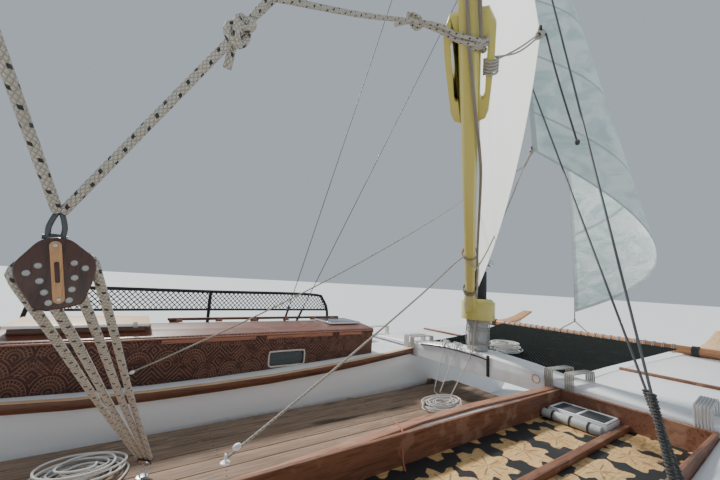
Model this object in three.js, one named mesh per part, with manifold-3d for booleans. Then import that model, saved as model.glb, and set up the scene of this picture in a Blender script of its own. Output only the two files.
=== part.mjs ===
// A double-hulled sailing canoe of about 8.4 m: two V hulls joined by cross beams, a plank
// deck between them, a low cabin on the port hull, and a stayed mast with a mainsail and jib.
// Millimetres. +X is forward, +Y is to port, +Z is up. The origin is on the centreline,
// amidships, at the waterline.
import * as THREE from "three";
import { mergeVertices } from "three/addons/utils/BufferGeometryUtils.js";
import Module from "manifold-3d";

const wasm = await Module();
wasm.setup();

// Gap between pieces that touch on the real boat, and between a turning piece and its seat.
const GAP = 0.3;
const RUNNING_GAP = 0.5;

// Hulls. half is half the width at the gunwale, sheer the gunwale's height, keel the keel's.
const HULL_CENTRE_Y = 1270;
const KEEL_HALF_WIDTH = 22;
const HULL_LINES = [
  { x: -4180, half: 42, sheer: 1060, keel: 420 },
  { x: -4080, half: 74, sheer: 1040, keel: 40 },
  { x: -3800, half: 160, sheer: 995, keel: -230 },
  { x: -3000, half: 430, sheer: 890, keel: -390 },
  { x: -2150, half: 565, sheer: 815, keel: -440 },
  { x: -1000, half: 610, sheer: 815, keel: -460 },
  { x: 0, half: 615, sheer: 865, keel: -460 },
  { x: 1250, half: 455, sheer: 928, keel: -440 },
  { x: 2150, half: 385, sheer: 985, keel: -390 },
  { x: 3000, half: 250, sheer: 1045, keel: -280 },
  { x: 3500, half: 160, sheer: 1085, keel: -110 },
  { x: 3850, half: 100, sheer: 1115, keel: 180 },
  { x: 4100, half: 62, sheer: 1140, keel: 560 },
  { x: 4250, half: 36, sheer: 1155, keel: 930 },
];
// Section of a hull from keel to gunwale: share of the half width against share of the height.
const HULL_SECTION = [
  { out: 0.42, up: 0.2 },
  { out: 0.72, up: 0.47 },
  { out: 0.9, up: 0.73 },
  { out: 1.0, up: 1.0 },
];

// Port cabin.
const CABIN = { aft: -2480, front: 560, inner: 870, outer: 1650, wall: 20, eaves: 1120, crown: 1190 };
const CABIN_WELL = { aft: -2400, front: 470, inner: 950, outer: 1560, floor: 200 };
const CABIN_WINDOW = { aft: -600, front: -270, bottom: 862, top: 972, corner: 35 };
const ROOF_HATCH = { aft: -2340, front: -1620, inner: 1050, outer: 1470, rim: 30 };
const HATCH_LID = { aft: -2400, front: -1560, inner: 1000, outer: 1520, bottom: 1224, top: 1246 };

// Starboard working deck, sunk into the hull inside a coaming.
const WORK_DECK = { aft: -2600, front: 1080, inner: 850, outer: 1690, floor: 790, top: 802, coaming: 945 };

// Deck of planks between the hulls.
const PLANK_DECK = { aft: -2950, front: 1660, top: 540, thick: 26, halfWidth: 640, planks: 10, seam: 8 };
const BEARER_X = [-2500, -1150, 200, 1500];

// Cross beams.
const MAST_X = 1250;
const MAST_BEAM = { x: MAST_X, halfWidth: 140, crown: 1055, shoulder: 995, tip: 962, bottom: 855, reach: 1700 };
const AFT_BEAM = { x: -3080, halfWidth: 90, crown: 1010, shoulder: 975, tip: 945, bottom: 800, reach: 1600 };
const FORE_BEAM = { x: 3400, radius: 45, reach: 1400 };

// Mast and stays.
const POST = { radius: 105, top: 1360 };
const MAST = { radius: 65, foot: POST.top + GAP, top: 9000, sides: 32 };
const UPPER_STAY_Z = 8860;
const LOWER_STAY_Z = 5520;
const CHAINPLATE = { y: 1800, upperX: -180, lowerX: -60 };

// Boom, in its own frame: length from the mast's axis, then turned to its rest pose.
const BOOM_SWING = 36.5;
const BOOM_RISE = 30;
const BOOM = { length: 5600, halfWidth: 42, halfDepth: 50, heel: 1430, toPort: 80 };
const BOOM_WING = { from: 2230, to: 2740, halfWidth: 108, thick: 40, slotFrom: 2350, slotTo: 2640 };

const COLOURS = {
  hull: [0xe9eaec, 0.4, 0],
  varnish: [0x8a4a26, 0.4, 0],
  tan: [0xc98f52, 0.5, 0],
  plank: [0x8d7b69, 0.8, 0],
  cabin: [0x5a2018, 0.6, 0],
  leaf: [0xb98a45, 0.6, 0],
  black: [0x17181a, 0.7, 0],
  net: [0x1d2420, 0.9, 0],
  yellow: [0xcdb62c, 0.45, 0],
  mast: [0xc4c7c8, 0.35, 0.6],
  post: [0xb9b9b4, 0.7, 0],
  sail: [0xe6ebe8, 0.8, 0],
  steel: [0x9a9da0, 0.35, 0.9],
  rope: [0xb5ad9a, 0.9, 0],
  glass: [0x222a2c, 0.1, 0],
};

const canoe = new THREE.Group();

function material(name) {
  const [color, roughness, metalness] = COLOURS[name];
  return new THREE.MeshStandardMaterial({ color, roughness, metalness });
}

function add(name, geometry, finish, parent = canoe) {
  const mesh = new THREE.Mesh(geometry, material(finish));
  mesh.name = name;
  parent.add(mesh);
  return mesh;
}

// Solids and booleans.
function solid(geometry) {
  const bare = geometry.clone();
  bare.deleteAttribute("normal");
  bare.deleteAttribute("uv");
  const merged = mergeVertices(bare, 1e-4);
  return new wasm.Manifold(new wasm.Mesh({
    numProp: 3,
    vertProperties: new Float32Array(merged.attributes.position.array),
    triVerts: new Uint32Array(merged.index.array),
  }));
}

function geometryOf(body) {
  const mesh = body.getMesh();
  const geometry = new THREE.BufferGeometry();
  geometry.setAttribute("position", new THREE.BufferAttribute(mesh.vertProperties, 3));
  geometry.setIndex(new THREE.BufferAttribute(mesh.triVerts, 1));
  return geometry;
}

function join(...parts) {
  return geometryOf(parts.map(solid).reduce((sum, part) => sum.add(part)));
}

function cut(base, ...tools) {
  return geometryOf(tools.reduce((left, tool) => left.subtract(solid(tool)), solid(base)));
}

// A closed body through rings of points, in order along the piece.
function loft(rings) {
  const count = rings[0].length;
  const points = rings.flat();
  const faces = [];
  for (let r = 0; r < rings.length - 1; r++) {
    for (let i = 0; i < count; i++) {
      const a = r * count + i;
      const b = r * count + ((i + 1) % count);
      faces.push(a, b, a + count, b, b + count, a + count);
    }
  }
  const cap = (ring, start, flip) => {
    const middle = new THREE.Vector3();
    ring.forEach((point) => middle.addScaledVector(point, 1 / count));
    const hub = points.push(middle) - 1;
    for (let i = 0; i < count; i++) {
      const pair = [start + i, start + ((i + 1) % count)];
      faces.push(hub, ...(flip ? pair.reverse() : pair));
    }
  };
  cap(rings[0], 0, true);
  cap(rings.at(-1), (rings.length - 1) * count, false);
  const geometry = new THREE.BufferGeometry().setFromPoints(points);
  geometry.setIndex(faces);
  return facingOut(geometry);
}

// Turns a closed body's faces round if they point in.
function facingOut(geometry) {
  const position = geometry.attributes.position;
  const index = geometry.index.array;
  const [a, b, c] = [new THREE.Vector3(), new THREE.Vector3(), new THREE.Vector3()];
  let volume = 0;
  for (let i = 0; i < index.length; i += 3) {
    a.fromBufferAttribute(position, index[i]);
    b.fromBufferAttribute(position, index[i + 1]);
    c.fromBufferAttribute(position, index[i + 2]);
    volume += a.dot(b.cross(c));
  }
  if (volume < 0) {
    for (let i = 0; i < index.length; i += 3) [index[i], index[i + 1]] = [index[i + 1], index[i]];
  }
  return geometry;
}

// A thin closed sheet: place(u, v) gives its middle surface, and it is thick along across.
function sheet(place, columns, rows, thick, across) {
  const side = (offset) => {
    const points = [];
    for (let r = 0; r <= rows; r++) {
      for (let c = 0; c <= columns; c++) points.push(place(c / columns, r / rows).addScaledVector(across, offset));
    }
    return points;
  };
  const points = [...side(thick / 2), ...side(-thick / 2)];
  const back = points.length / 2;
  const at = (c, r) => r * (columns + 1) + c;
  const faces = [];
  for (let r = 0; r < rows; r++) {
    for (let c = 0; c < columns; c++) {
      const [p, q, s, t] = [at(c, r), at(c + 1, r), at(c + 1, r + 1), at(c, r + 1)];
      faces.push(p, q, s, p, s, t, back + p, back + s, back + q, back + p, back + t, back + s);
    }
  }
  const edge = (p, q) => faces.push(p, back + p, q, q, back + p, back + q);
  for (let c = 0; c < columns; c++) {
    edge(at(c, 0), at(c + 1, 0));
    edge(at(c + 1, rows), at(c, rows));
  }
  for (let r = 0; r < rows; r++) {
    edge(at(columns, r), at(columns, r + 1));
    edge(at(0, r + 1), at(0, r));
  }
  const geometry = new THREE.BufferGeometry().setFromPoints(points);
  geometry.setIndex(faces);
  return facingOut(geometry);
}

function box(x0, x1, y0, y1, z0, z1) {
  const geometry = new THREE.BoxGeometry(Math.abs(x1 - x0), Math.abs(y1 - y0), Math.abs(z1 - z0));
  return geometry.translate((x0 + x1) / 2, (y0 + y1) / 2, (z0 + z1) / 2);
}

function rod(from, to, radius, sides = 8) {
  const along = new THREE.Vector3().subVectors(to, from);
  const geometry = new THREE.CylinderGeometry(radius, radius, along.length(), sides);
  geometry.translate(0, along.length() / 2, 0);
  geometry.applyQuaternion(new THREE.Quaternion().setFromUnitVectors(new THREE.Vector3(0, 1, 0), along.normalize()));
  return geometry.translate(from.x, from.y, from.z);
}

function tube(points, radius, steps, sides = 8) {
  const ring = new THREE.Shape().absarc(0, 0, radius, 0, 2 * Math.PI);
  return new THREE.ExtrudeGeometry(new THREE.Shape(ring.getPoints(sides / 2).slice(0, -1)), {
    steps,
    curveSegments: 1,
    extrudePath: new THREE.CatmullRomCurve3(points, false, "centripetal"),
  });
}

function at(x, y, z) {
  return new THREE.Vector3(x, y, z);
}

// Hull lines, drawn smooth through the table and then taken straight between stations.
const STATION_COUNT = 30;

// Number of the span between two rows that a place falls in.
function spanAt(rows, x) {
  const next = rows.findIndex((row) => row.x > x);
  return next < 0 ? rows.length - 2 : Math.max(0, next - 1);
}

function smoothLine(key, x) {
  const last = HULL_LINES.length - 1;
  const i = spanAt(HULL_LINES, x);
  const slope = (n) => {
    const [p, q] = [HULL_LINES[Math.max(0, n - 1)], HULL_LINES[Math.min(last, n + 1)]];
    return (q[key] - p[key]) / (q.x - p.x);
  };
  const [from, to] = [HULL_LINES[i], HULL_LINES[i + 1]];
  const span = to.x - from.x;
  const t = (x - from.x) / span;
  const bend = t * t * (3 - 2 * t);
  return from[key] * (1 - bend) + to[key] * bend
    + span * t * (1 - t) * (slope(i) * (1 - t) - slope(i + 1) * t);
}

function stationAt(i) {
  const [first, last] = [HULL_LINES[0].x, HULL_LINES.at(-1).x];
  const middle = (first + last) / 2;
  return middle - ((last - first) / 2) * Math.sin(Math.PI * (0.5 - i / (STATION_COUNT - 1)));
}

const STATIONS = Array.from({ length: STATION_COUNT }, (_, i) => {
  const x = stationAt(i);
  return { x, half: smoothLine("half", x), sheer: smoothLine("sheer", x), keel: smoothLine("keel", x) };
});

function hullLine(key, x) {
  const i = spanAt(STATIONS, x);
  const [from, to] = [STATIONS[i], STATIONS[i + 1]];
  return from[key] + ((to[key] - from[key]) * (x - from.x)) / (to.x - from.x);
}

// Places along a piece that follows the hull: its ends and every station between them.
function stationsBetween(aft, front) {
  return [aft, ...STATIONS.map((s) => s.x).filter((x) => x > aft + 5 && x < front - 5), front];
}

// Width of a hull from its centre at a height.
function hullHalfAt(x, z) {
  const [half, sheer, keel] = ["half", "sheer", "keel"].map((key) => hullLine(key, x));
  const up = (z - keel) / (sheer - keel);
  const steps = [{ out: KEEL_HALF_WIDTH / half, up: 0 }, ...HULL_SECTION];
  const i = Math.max(0, steps.findIndex((step) => step.up >= Math.min(up, 1)) - 1);
  const t = (up - steps[i].up) / (steps[i + 1].up - steps[i].up);
  return half * (steps[i].out + (steps[i + 1].out - steps[i].out) * t);
}

function hullBody(side) {
  return loft(STATIONS.map(({ x, half, sheer, keel }) => {
    const rise = sheer - keel;
    const wall = HULL_SECTION.map(({ out, up }) => [Math.max(out * half, KEEL_HALF_WIDTH + 2), keel + up * rise]);
    const profile = [[KEEL_HALF_WIDTH, keel], ...wall];
    const across = [...profile, ...profile.map(([y, z]) => [-y, z]).reverse()];
    return across.map(([y, z]) => at(x, side * HULL_CENTRE_Y + y, z));
  }));
}

const SIDES = [
  { side: "port", sign: 1 },
  { side: "starboard", sign: -1 },
];

// Hulls. The port one has the cabin's well, the starboard one the sunk working deck.
const portWell = box(CABIN_WELL.aft, CABIN_WELL.front, CABIN_WELL.inner, CABIN_WELL.outer, CABIN_WELL.floor, 2000);
const starboardWell = box(WORK_DECK.aft, WORK_DECK.front, -WORK_DECK.inner, -WORK_DECK.outer, WORK_DECK.floor, 2000);
add("hull_port", cut(hullBody(1), portWell), "hull");
add("hull_starboard", cut(hullBody(-1), starboardWell), "hull");

// A piece fitted against a hull: the hull, moved by the gap towards the piece, is cut away.
function fitted(piece, hull, dy, dz) {
  return cut(piece, hull.clone().translate(0, dy * GAP, dz * GAP));
}

// Gunwale rails: an L section over the deck edge, aft of the mast beam.
const RAIL = { aft: -2980, front: 1100, over: 30, out: 30, drop: 48, cap: 16, bite: 8 };
for (const { side, sign } of SIDES) {
  for (const [edge, turn] of [["inner", -1], ["outer", 1]]) {
    const rings = stationsBetween(RAIL.aft, RAIL.front).map((x) => {
      const gunwale = hullLine("half", x);
      const sheer = hullLine("sheer", x);
      const lower = hullHalfAt(x, sheer - RAIL.drop);
      const section = [
        [gunwale - RAIL.over, sheer - RAIL.bite],
        [gunwale - RAIL.bite * 2, sheer - RAIL.bite],
        [lower - RAIL.bite, sheer - RAIL.drop],
        [lower + RAIL.out, sheer - RAIL.drop],
        [gunwale + RAIL.out, sheer + RAIL.cap],
        [gunwale - RAIL.over, sheer + RAIL.cap],
      ];
      return section.map(([y, z]) => at(x, sign * (HULL_CENTRE_Y + turn * y), z));
    });
    add(`gunwale_${side}_${edge}`, fitted(loft(rings), hullBody(sign), sign * turn, 1), "varnish");
  }
}

// Prow boards, lying on the foredecks and rising past the stems.
const PROW = { from: 3480, to: 4560, base: 150, tip: 80, thick: 30, slope: 0.16, rise: 60, riseFrom: 4050, riseLength: 400 };
for (const { side, sign } of SIDES) {
  const rings = stationsBetween(PROW.from, PROW.to).map((x) => {
    const t = (x - PROW.from) / (PROW.to - PROW.from);
    const half = PROW.base + (PROW.tip - PROW.base) * t;
    const end = HULL_LINES.at(-1);
    const seat = x < end.x ? hullLine("sheer", x) : end.sheer + (x - end.x) * PROW.slope;
    const z = seat + GAP + PROW.rise * Math.max(0, x - PROW.riseFrom) / PROW.riseLength;
    return [[-half, z], [half, z], [half, z + PROW.thick], [-half, z + PROW.thick]]
      .map(([y, up]) => at(x, sign * HULL_CENTRE_Y + y, up));
  });
  add(`prow_board_${side}`, loft(rings), "tan");
}

// Box beams across both hulls, arched on top and notched over the gunwales.
function boxBeam({ x, halfWidth, crown, shoulder, tip, bottom, reach }) {
  const notch = HULL_CENTRE_Y - Math.max(hullLine("half", x - halfWidth), hullLine("half", x + halfWidth)) - 25;
  const seat = Math.max(hullLine("sheer", x - halfWidth), hullLine("sheer", x + halfWidth)) + GAP;
  const stops = [-reach, -notch, -notch, -notch * 0.66, -notch * 0.33, 0, notch * 0.33, notch * 0.66, notch, notch, reach];
  const rings = stops.map((y, i) => {
    const outside = i < 2 || i > stops.length - 3;
    const share = Math.abs(y) / notch;
    const top = share <= 1 ? crown - (crown - shoulder) * share * share : tip;
    const base = outside ? seat : bottom;
    const bevel = 14;
    return [[-halfWidth, base], [halfWidth, base], [halfWidth, top - bevel], [halfWidth - bevel, top],
      [-halfWidth + bevel, top], [-halfWidth, top - bevel]].map(([dx, z]) => at(x + dx, y, z));
  });
  return loft(rings);
}
add("mast_beam", boxBeam(MAST_BEAM), "hull");
add("aft_beam", boxBeam(AFT_BEAM), "hull");

const foreBeamZ = hullLine("sheer", FORE_BEAM.x + FORE_BEAM.radius) + FORE_BEAM.radius + GAP;
add("fore_beam", rod(at(FORE_BEAM.x, -FORE_BEAM.reach, foreBeamZ), at(FORE_BEAM.x, FORE_BEAM.reach, foreBeamZ),
  FORE_BEAM.radius, 14), "tan");

// Ledges on the hulls' inner sides, and the plank deck whose bearers rest on them.
const LEDGE = { height: 60, width: 60, bite: 40 };
const bearerBottom = PLANK_DECK.top - PLANK_DECK.thick - 60;
const ledgeTop = bearerBottom - GAP;
for (const { side, sign } of SIDES) {
  const rings = stationsBetween(BEARER_X[0] - 150, BEARER_X.at(-1) + 100).map((x) => {
    const wall = HULL_CENTRE_Y - hullHalfAt(x, ledgeTop);
    const section = [[wall + LEDGE.bite, ledgeTop], [wall - LEDGE.width, ledgeTop],
      [wall - LEDGE.width, ledgeTop - LEDGE.height], [wall + LEDGE.bite, ledgeTop - LEDGE.height]];
    return section.map(([y, z]) => at(x, sign * y, z));
  });
  add(`deck_ledge_${side}`, fitted(loft(rings), hullBody(sign), -sign, 0), "varnish");
}
const plankWidth = (2 * PLANK_DECK.halfWidth + PLANK_DECK.seam) / PLANK_DECK.planks;
const planks = Array.from({ length: PLANK_DECK.planks }, (_, i) => {
  const y = -PLANK_DECK.halfWidth + i * plankWidth;
  return box(PLANK_DECK.aft, PLANK_DECK.front, y, y + plankWidth - PLANK_DECK.seam,
    PLANK_DECK.top - PLANK_DECK.thick, PLANK_DECK.top);
});
const bearers = BEARER_X.map((x) => {
  const reach = HULL_CENTRE_Y - Math.max(hullHalfAt(x - 35, PLANK_DECK.top), hullHalfAt(x + 35, PLANK_DECK.top)) - 8;
  return box(x - 35, x + 35, -reach, reach, bearerBottom, PLANK_DECK.top - PLANK_DECK.thick + 1);
});
add("plank_deck", join(...planks, ...bearers), "plank");

// Cabin walls stand on the deck, ends between them, and the roof lies on all four.
const wallTop = CABIN.eaves - GAP;
function windowPlate(inset, thick) {
  const shape = new THREE.Shape();
  const { corner } = CABIN_WINDOW;
  const [aft, front] = [CABIN_WINDOW.aft + inset, CABIN_WINDOW.front - inset];
  const [bottom, top] = [CABIN_WINDOW.bottom + inset, CABIN_WINDOW.top - inset];
  shape.moveTo(aft + corner, bottom).lineTo(front - corner, bottom);
  shape.absarc(front - corner, bottom + corner, corner, -Math.PI / 2, 0);
  shape.absarc(front - corner, top - corner, corner, 0, Math.PI / 2);
  shape.absarc(aft + corner, top - corner, corner, Math.PI / 2, Math.PI);
  shape.absarc(aft + corner, bottom + corner, corner, Math.PI, 1.5 * Math.PI);
  return new THREE.ExtrudeGeometry(shape, { depth: thick, bevelEnabled: false, curveSegments: 4 }).rotateX(Math.PI / 2);
}
function longWall(y0, y1) {
  const rings = stationsBetween(CABIN.aft, CABIN.front).map((x) => {
    const deck = hullLine("sheer", x) + GAP;
    return [at(x, y0, deck), at(x, y1, deck), at(x, y1, wallTop), at(x, y0, wallTop)];
  });
  const hole = windowPlate(0, 200).translate(0, (y0 + y1) / 2 + 100, 0);
  return cut(loft(rings), hole);
}
add("cabin_wall_inner", longWall(CABIN.inner, CABIN.inner + CABIN.wall), "cabin");
add("cabin_wall_outer", longWall(CABIN.outer - CABIN.wall, CABIN.outer), "cabin");

// Roof section: a crowned plate with rounded shoulders that come down onto the walls.
const ROOF = { shoulder: 42, thick: 22, aft: CABIN.aft - 15, front: CABIN.front + 15 };
const cabinMiddle = (CABIN.inner + CABIN.outer) / 2;
function roofUnderside(y) {
  const reach = (CABIN.outer - CABIN.inner) / 2 - CABIN.wall;
  const share = Math.min(1, Math.abs(y - cabinMiddle) / reach);
  const edge = CABIN.eaves + ROOF.shoulder - ROOF.thick;
  return edge + (CABIN.crown - ROOF.thick - edge) * (1 - share * share);
}
function roofTop(y) {
  return roofUnderside(y) + ROOF.thick;
}
const ROOF_STEPS = 10;
const roofInnerLine = Array.from({ length: ROOF_STEPS + 1 }, (_, i) => {
  const y = THREE.MathUtils.lerp(CABIN.outer - CABIN.wall, CABIN.inner + CABIN.wall, i / ROOF_STEPS);
  return [y, roofUnderside(y)];
});
// The roof's outer outline, from one eave over the crown to the other.
function roofOutline() {
  const shape = new THREE.Shape();
  shape.moveTo(CABIN.inner, CABIN.eaves);
  shape.absarc(CABIN.inner + ROOF.shoulder, CABIN.eaves, ROOF.shoulder, Math.PI, Math.PI / 2, true);
  for (const [y] of [...roofInnerLine].reverse().slice(1, -1)) {
    if (y > CABIN.inner + ROOF.shoulder && y < CABIN.outer - ROOF.shoulder) shape.lineTo(y, roofTop(y));
  }
  shape.absarc(CABIN.outer - ROOF.shoulder, CABIN.eaves, ROOF.shoulder, Math.PI / 2, 0, true);
  return shape;
}
const roofSection = roofOutline();
roofSection.lineTo(CABIN.outer - CABIN.wall, CABIN.eaves);
for (const [y, z] of roofInnerLine) roofSection.lineTo(y, z);
roofSection.lineTo(CABIN.inner + CABIN.wall, CABIN.eaves);
const roofFilled = roofOutline();

// Shapes drawn in the Y-Z plane, extruded along X.
function alongX(shape, from, to, segments = 5) {
  const geometry = new THREE.ExtrudeGeometry(shape, { depth: to - from, bevelEnabled: false, curveSegments: segments });
  return geometry.rotateX(Math.PI / 2).rotateZ(Math.PI / 2).translate(from, 0, 0);
}
const belowRoof = CABIN.eaves - 120;
const hatchHole = box(ROOF_HATCH.aft, ROOF_HATCH.front, ROOF_HATCH.inner, ROOF_HATCH.outer, belowRoof, CABIN.crown + 200);
add("cabin_roof", cut(alongX(roofSection, ROOF.aft, ROOF.front), hatchHole), "cabin");

function endWall(from, opening) {
  const deck = Math.max(hullLine("sheer", from), hullLine("sheer", from + CABIN.wall)) + GAP;
  const shape = new THREE.Shape();
  shape.moveTo(CABIN.inner + CABIN.wall + GAP, deck);
  shape.lineTo(CABIN.outer - CABIN.wall - GAP, deck);
  for (const [y, z] of roofInnerLine.slice(1, -1)) shape.lineTo(y, z - GAP * 2);
  shape.lineTo(CABIN.inner + CABIN.wall + GAP, roofInnerLine.at(-1)[1] - GAP * 2);
  shape.lineTo(CABIN.inner + CABIN.wall + GAP, deck);
  const wall = alongX(shape, from, from + CABIN.wall);
  return opening ? cut(wall, opening) : wall;
}
add("cabin_front", endWall(CABIN.front - CABIN.wall), "cabin");
add("cabin_aft", endWall(CABIN.aft), "cabin");

const PANE_THICK = 6;
for (const [name, y] of [["window_inner", CABIN.inner + 6], ["window_outer", CABIN.outer - CABIN.wall + 6]]) {
  add(name, windowPlate(GAP, PANE_THICK).translate(0, y + PANE_THICK, 0), "glass");
}

// Hatch coaming on the roof, its lid, the handrail on chocks, and the solar panel.
const coamingRim = cut(
  box(ROOF_HATCH.aft - ROOF_HATCH.rim, ROOF_HATCH.front + ROOF_HATCH.rim, ROOF_HATCH.inner - ROOF_HATCH.rim,
    ROOF_HATCH.outer + ROOF_HATCH.rim, CABIN.eaves, HATCH_LID.bottom - GAP),
  hatchHole,
  alongX(roofFilled, ROOF.aft - 10, ROOF.front + 10).translate(0, 0, GAP),
  box(ROOF.aft - 10, ROOF.front + 10, CABIN.inner, CABIN.outer, belowRoof, CABIN.eaves + 5),
);
add("hatch_coaming", coamingRim, "varnish");
add("hatch_lid", box(HATCH_LID.aft, HATCH_LID.front, HATCH_LID.inner, HATCH_LID.outer, HATCH_LID.bottom, HATCH_LID.top), "tan");

const HANDRAIL = { aft: -1400, front: 560, y: 1575, width: 30, height: 26, chock: 46, chockX: [-1340, -560, 240] };
const handrailZ = roofTop(HANDRAIL.y - HANDRAIL.width / 2) + GAP;
const chocks = HANDRAIL.chockX.map((x) => box(x - 45, x + 45, HANDRAIL.y - HANDRAIL.width / 2,
  HANDRAIL.y + HANDRAIL.width / 2, handrailZ, handrailZ + HANDRAIL.chock));
add("roof_handrail", join(box(HANDRAIL.aft, HANDRAIL.front - 40, HANDRAIL.y - HANDRAIL.width / 2,
  HANDRAIL.y + HANDRAIL.width / 2, handrailZ + HANDRAIL.chock - HANDRAIL.height, handrailZ + HANDRAIL.chock), ...chocks), "varnish");

const SOLAR = { aft: 120, front: 520, inner: 1060, outer: 1440 };
add("solar_panel", box(SOLAR.aft, SOLAR.front, SOLAR.inner, SOLAR.outer, CABIN.crown + GAP, CABIN.crown + 20), "black");

const VENT = { x: 900, y: 1500, size: 170, height: 120 };
const ventSeat = hullLine("sheer", VENT.x + VENT.size / 2) + GAP;
add("vent_box", box(VENT.x - VENT.size / 2, VENT.x + VENT.size / 2, VENT.y - VENT.size / 2, VENT.y + VENT.size / 2,
  ventSeat, ventSeat + VENT.height), "hull");

// Starboard working deck: coaming, painted panel, centre batten, mesh hatch and rolled cloth.
const { aft: wAft, front: wFront, inner: wInner, outer: wOuter } = WORK_DECK;
const COAMING_THICK = 22;
add("work_coaming", cut(
  box(wAft + GAP, wFront - GAP, -wInner - GAP, -wOuter + GAP, WORK_DECK.floor + GAP, WORK_DECK.coaming),
  box(wAft + COAMING_THICK, wFront - COAMING_THICK, -wInner - COAMING_THICK, -wOuter + COAMING_THICK,
    WORK_DECK.floor - 10, WORK_DECK.coaming + 10),
), "varnish");
add("work_deck", box(wAft + COAMING_THICK + GAP, wFront - COAMING_THICK - GAP, -wInner - COAMING_THICK - GAP,
  -wOuter + COAMING_THICK + GAP, WORK_DECK.floor + GAP, WORK_DECK.top), "leaf");
const BATTEN = { halfWidth: 22, height: 34 };
add("work_batten", box(wAft + COAMING_THICK + GAP, wFront - COAMING_THICK - GAP, -HULL_CENTRE_Y - BATTEN.halfWidth,
  -HULL_CENTRE_Y + BATTEN.halfWidth, WORK_DECK.top + GAP, WORK_DECK.top + BATTEN.height), "varnish");
const MESH_HATCH = { aft: 830, front: 1050, inner: 885, outer: 1240, height: 60 };
add("mesh_hatch", box(MESH_HATCH.aft, MESH_HATCH.front, -MESH_HATCH.inner, -MESH_HATCH.outer,
  WORK_DECK.top + GAP, WORK_DECK.top + MESH_HATCH.height), "black");
const ROLL = { x: 775, radius: 30, from: 880, to: 1235 };
const rollZ = WORK_DECK.top + GAP + ROLL.radius;
add("cloth_roll", rod(at(ROLL.x, -ROLL.from, rollZ), at(ROLL.x, -ROLL.to, rollZ), ROLL.radius, 12), "sail");

// Battens across the foredecks.
const FORE_BATTEN = { x: 2170, width: 40, height: 22 };
for (const { side, sign } of SIDES) {
  const x0 = FORE_BATTEN.x - FORE_BATTEN.width / 2;
  const x1 = FORE_BATTEN.x + FORE_BATTEN.width / 2;
  const seat = Math.max(hullLine("sheer", x0), hullLine("sheer", x1)) + GAP;
  const half = hullLine("half", x1) - 4;
  add(`foredeck_batten_${side}`, box(x0, x1, sign * (HULL_CENTRE_Y - half), sign * (HULL_CENTRE_Y + half),
    seat, seat + FORE_BATTEN.height), "varnish");
}

// Net between the mast beam, the fore beam and the hulls.
const NET = { aft: MAST_X + MAST_BEAM.halfWidth + GAP, front: FORE_BEAM.x - FORE_BEAM.radius - GAP, thick: 10, edge: 30 };
const netRings = stationsBetween(NET.aft, NET.front).map((x) => {
  const t = (x - NET.aft) / (NET.front - NET.aft);
  const z = THREE.MathUtils.lerp(985, foreBeamZ, t) - 70 * t * (1 - t);
  const half = HULL_CENTRE_Y - hullLine("half", x) - NET.edge;
  return [[-half, z - NET.thick / 2], [half, z - NET.thick / 2], [half, z + NET.thick / 2], [-half, z + NET.thick / 2]]
    .map(([y, up]) => at(x, y, up));
});
add("fore_net", loft(netRings), "net");

// Net rails: bent tube frames on the outer side decks, each with its strip of net.
const NET_RAIL = { y: 1800, top: 1470, low: 1275, radius: 17, bend: 240 };
for (const { side, sign, aft, front, posts } of [
  { ...SIDES[0], aft: -2440, front: 470, posts: [-1000] },
  { ...SIDES[1], aft: -2900, front: -1800, posts: [] },
]) {
  const y = (x) => sign * Math.min(NET_RAIL.y, HULL_CENTRE_Y + hullLine("half", x) - RAIL.over - NET_RAIL.radius - 2);
  const { top, low, radius, bend } = NET_RAIL;
  const deck = (x) => Math.max(hullLine("sheer", x - radius), hullLine("sheer", x + radius)) + GAP;
  const arch = tube([
    at(front, y(front), deck(front)), at(front, y(front), top - bend), at(front - bend * 0.3, y(front), top - bend * 0.3),
    at(front - bend, y(front), top), at((front + aft) / 2, y((front + aft) / 2), top), at(aft + bend, y(aft), top),
    at(aft + bend * 0.3, y(aft), top - bend * 0.3), at(aft, y(aft), top - bend), at(aft, y(aft), deck(aft)),
  ], radius, 44);
  const bar = rod(at(aft + 20, y(aft), low), at(front - 20, y(front), low), radius * 0.7);
  const middle = posts.map((x) => rod(at(x, y(x), deck(x)), at(x, y(x), top), radius));
  const netEdge = [[10, low + 10], [bend * 0.3, top - bend * 0.3], [bend, top]];
  const net = loft([...netEdge.map(([back, z]) => [aft + back, z]), ...netEdge.reverse().map(([back, z]) => [front - back, z])]
    .map(([x, z]) => [at(x, y(x) - 3, low), at(x, y(x) + 3, low), at(x, y(x) + 3, z), at(x, y(x) - 3, z)]));
  add(`net_rail_${side}`, join(arch, bar, net, ...middle), "black");
}

// Mast, its post on the beam, black sleeve, winches and stays.
add("mast_post", rod(at(MAST_X, 0, MAST_BEAM.crown + GAP), at(MAST_X, 0, POST.top), POST.radius, 8), "post");
add("mast", rod(at(MAST_X, 0, MAST.foot), at(MAST_X, 0, MAST.top), MAST.radius, MAST.sides), "mast");
const SLEEVE = { bottom: 1500, top: 1850, radius: 82 };
const sleeveProfile = [
  [MAST.radius + GAP, SLEEVE.bottom], [SLEEVE.radius, SLEEVE.bottom], [SLEEVE.radius, SLEEVE.top], [MAST.radius + GAP, SLEEVE.top],
  [MAST.radius + GAP, SLEEVE.bottom],
].map(([r, z]) => new THREE.Vector2(r, z));
add("mast_sleeve", new THREE.LatheGeometry(sleeveProfile, MAST.sides).rotateX(Math.PI / 2).translate(MAST_X, 0, 0), "black");

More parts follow.
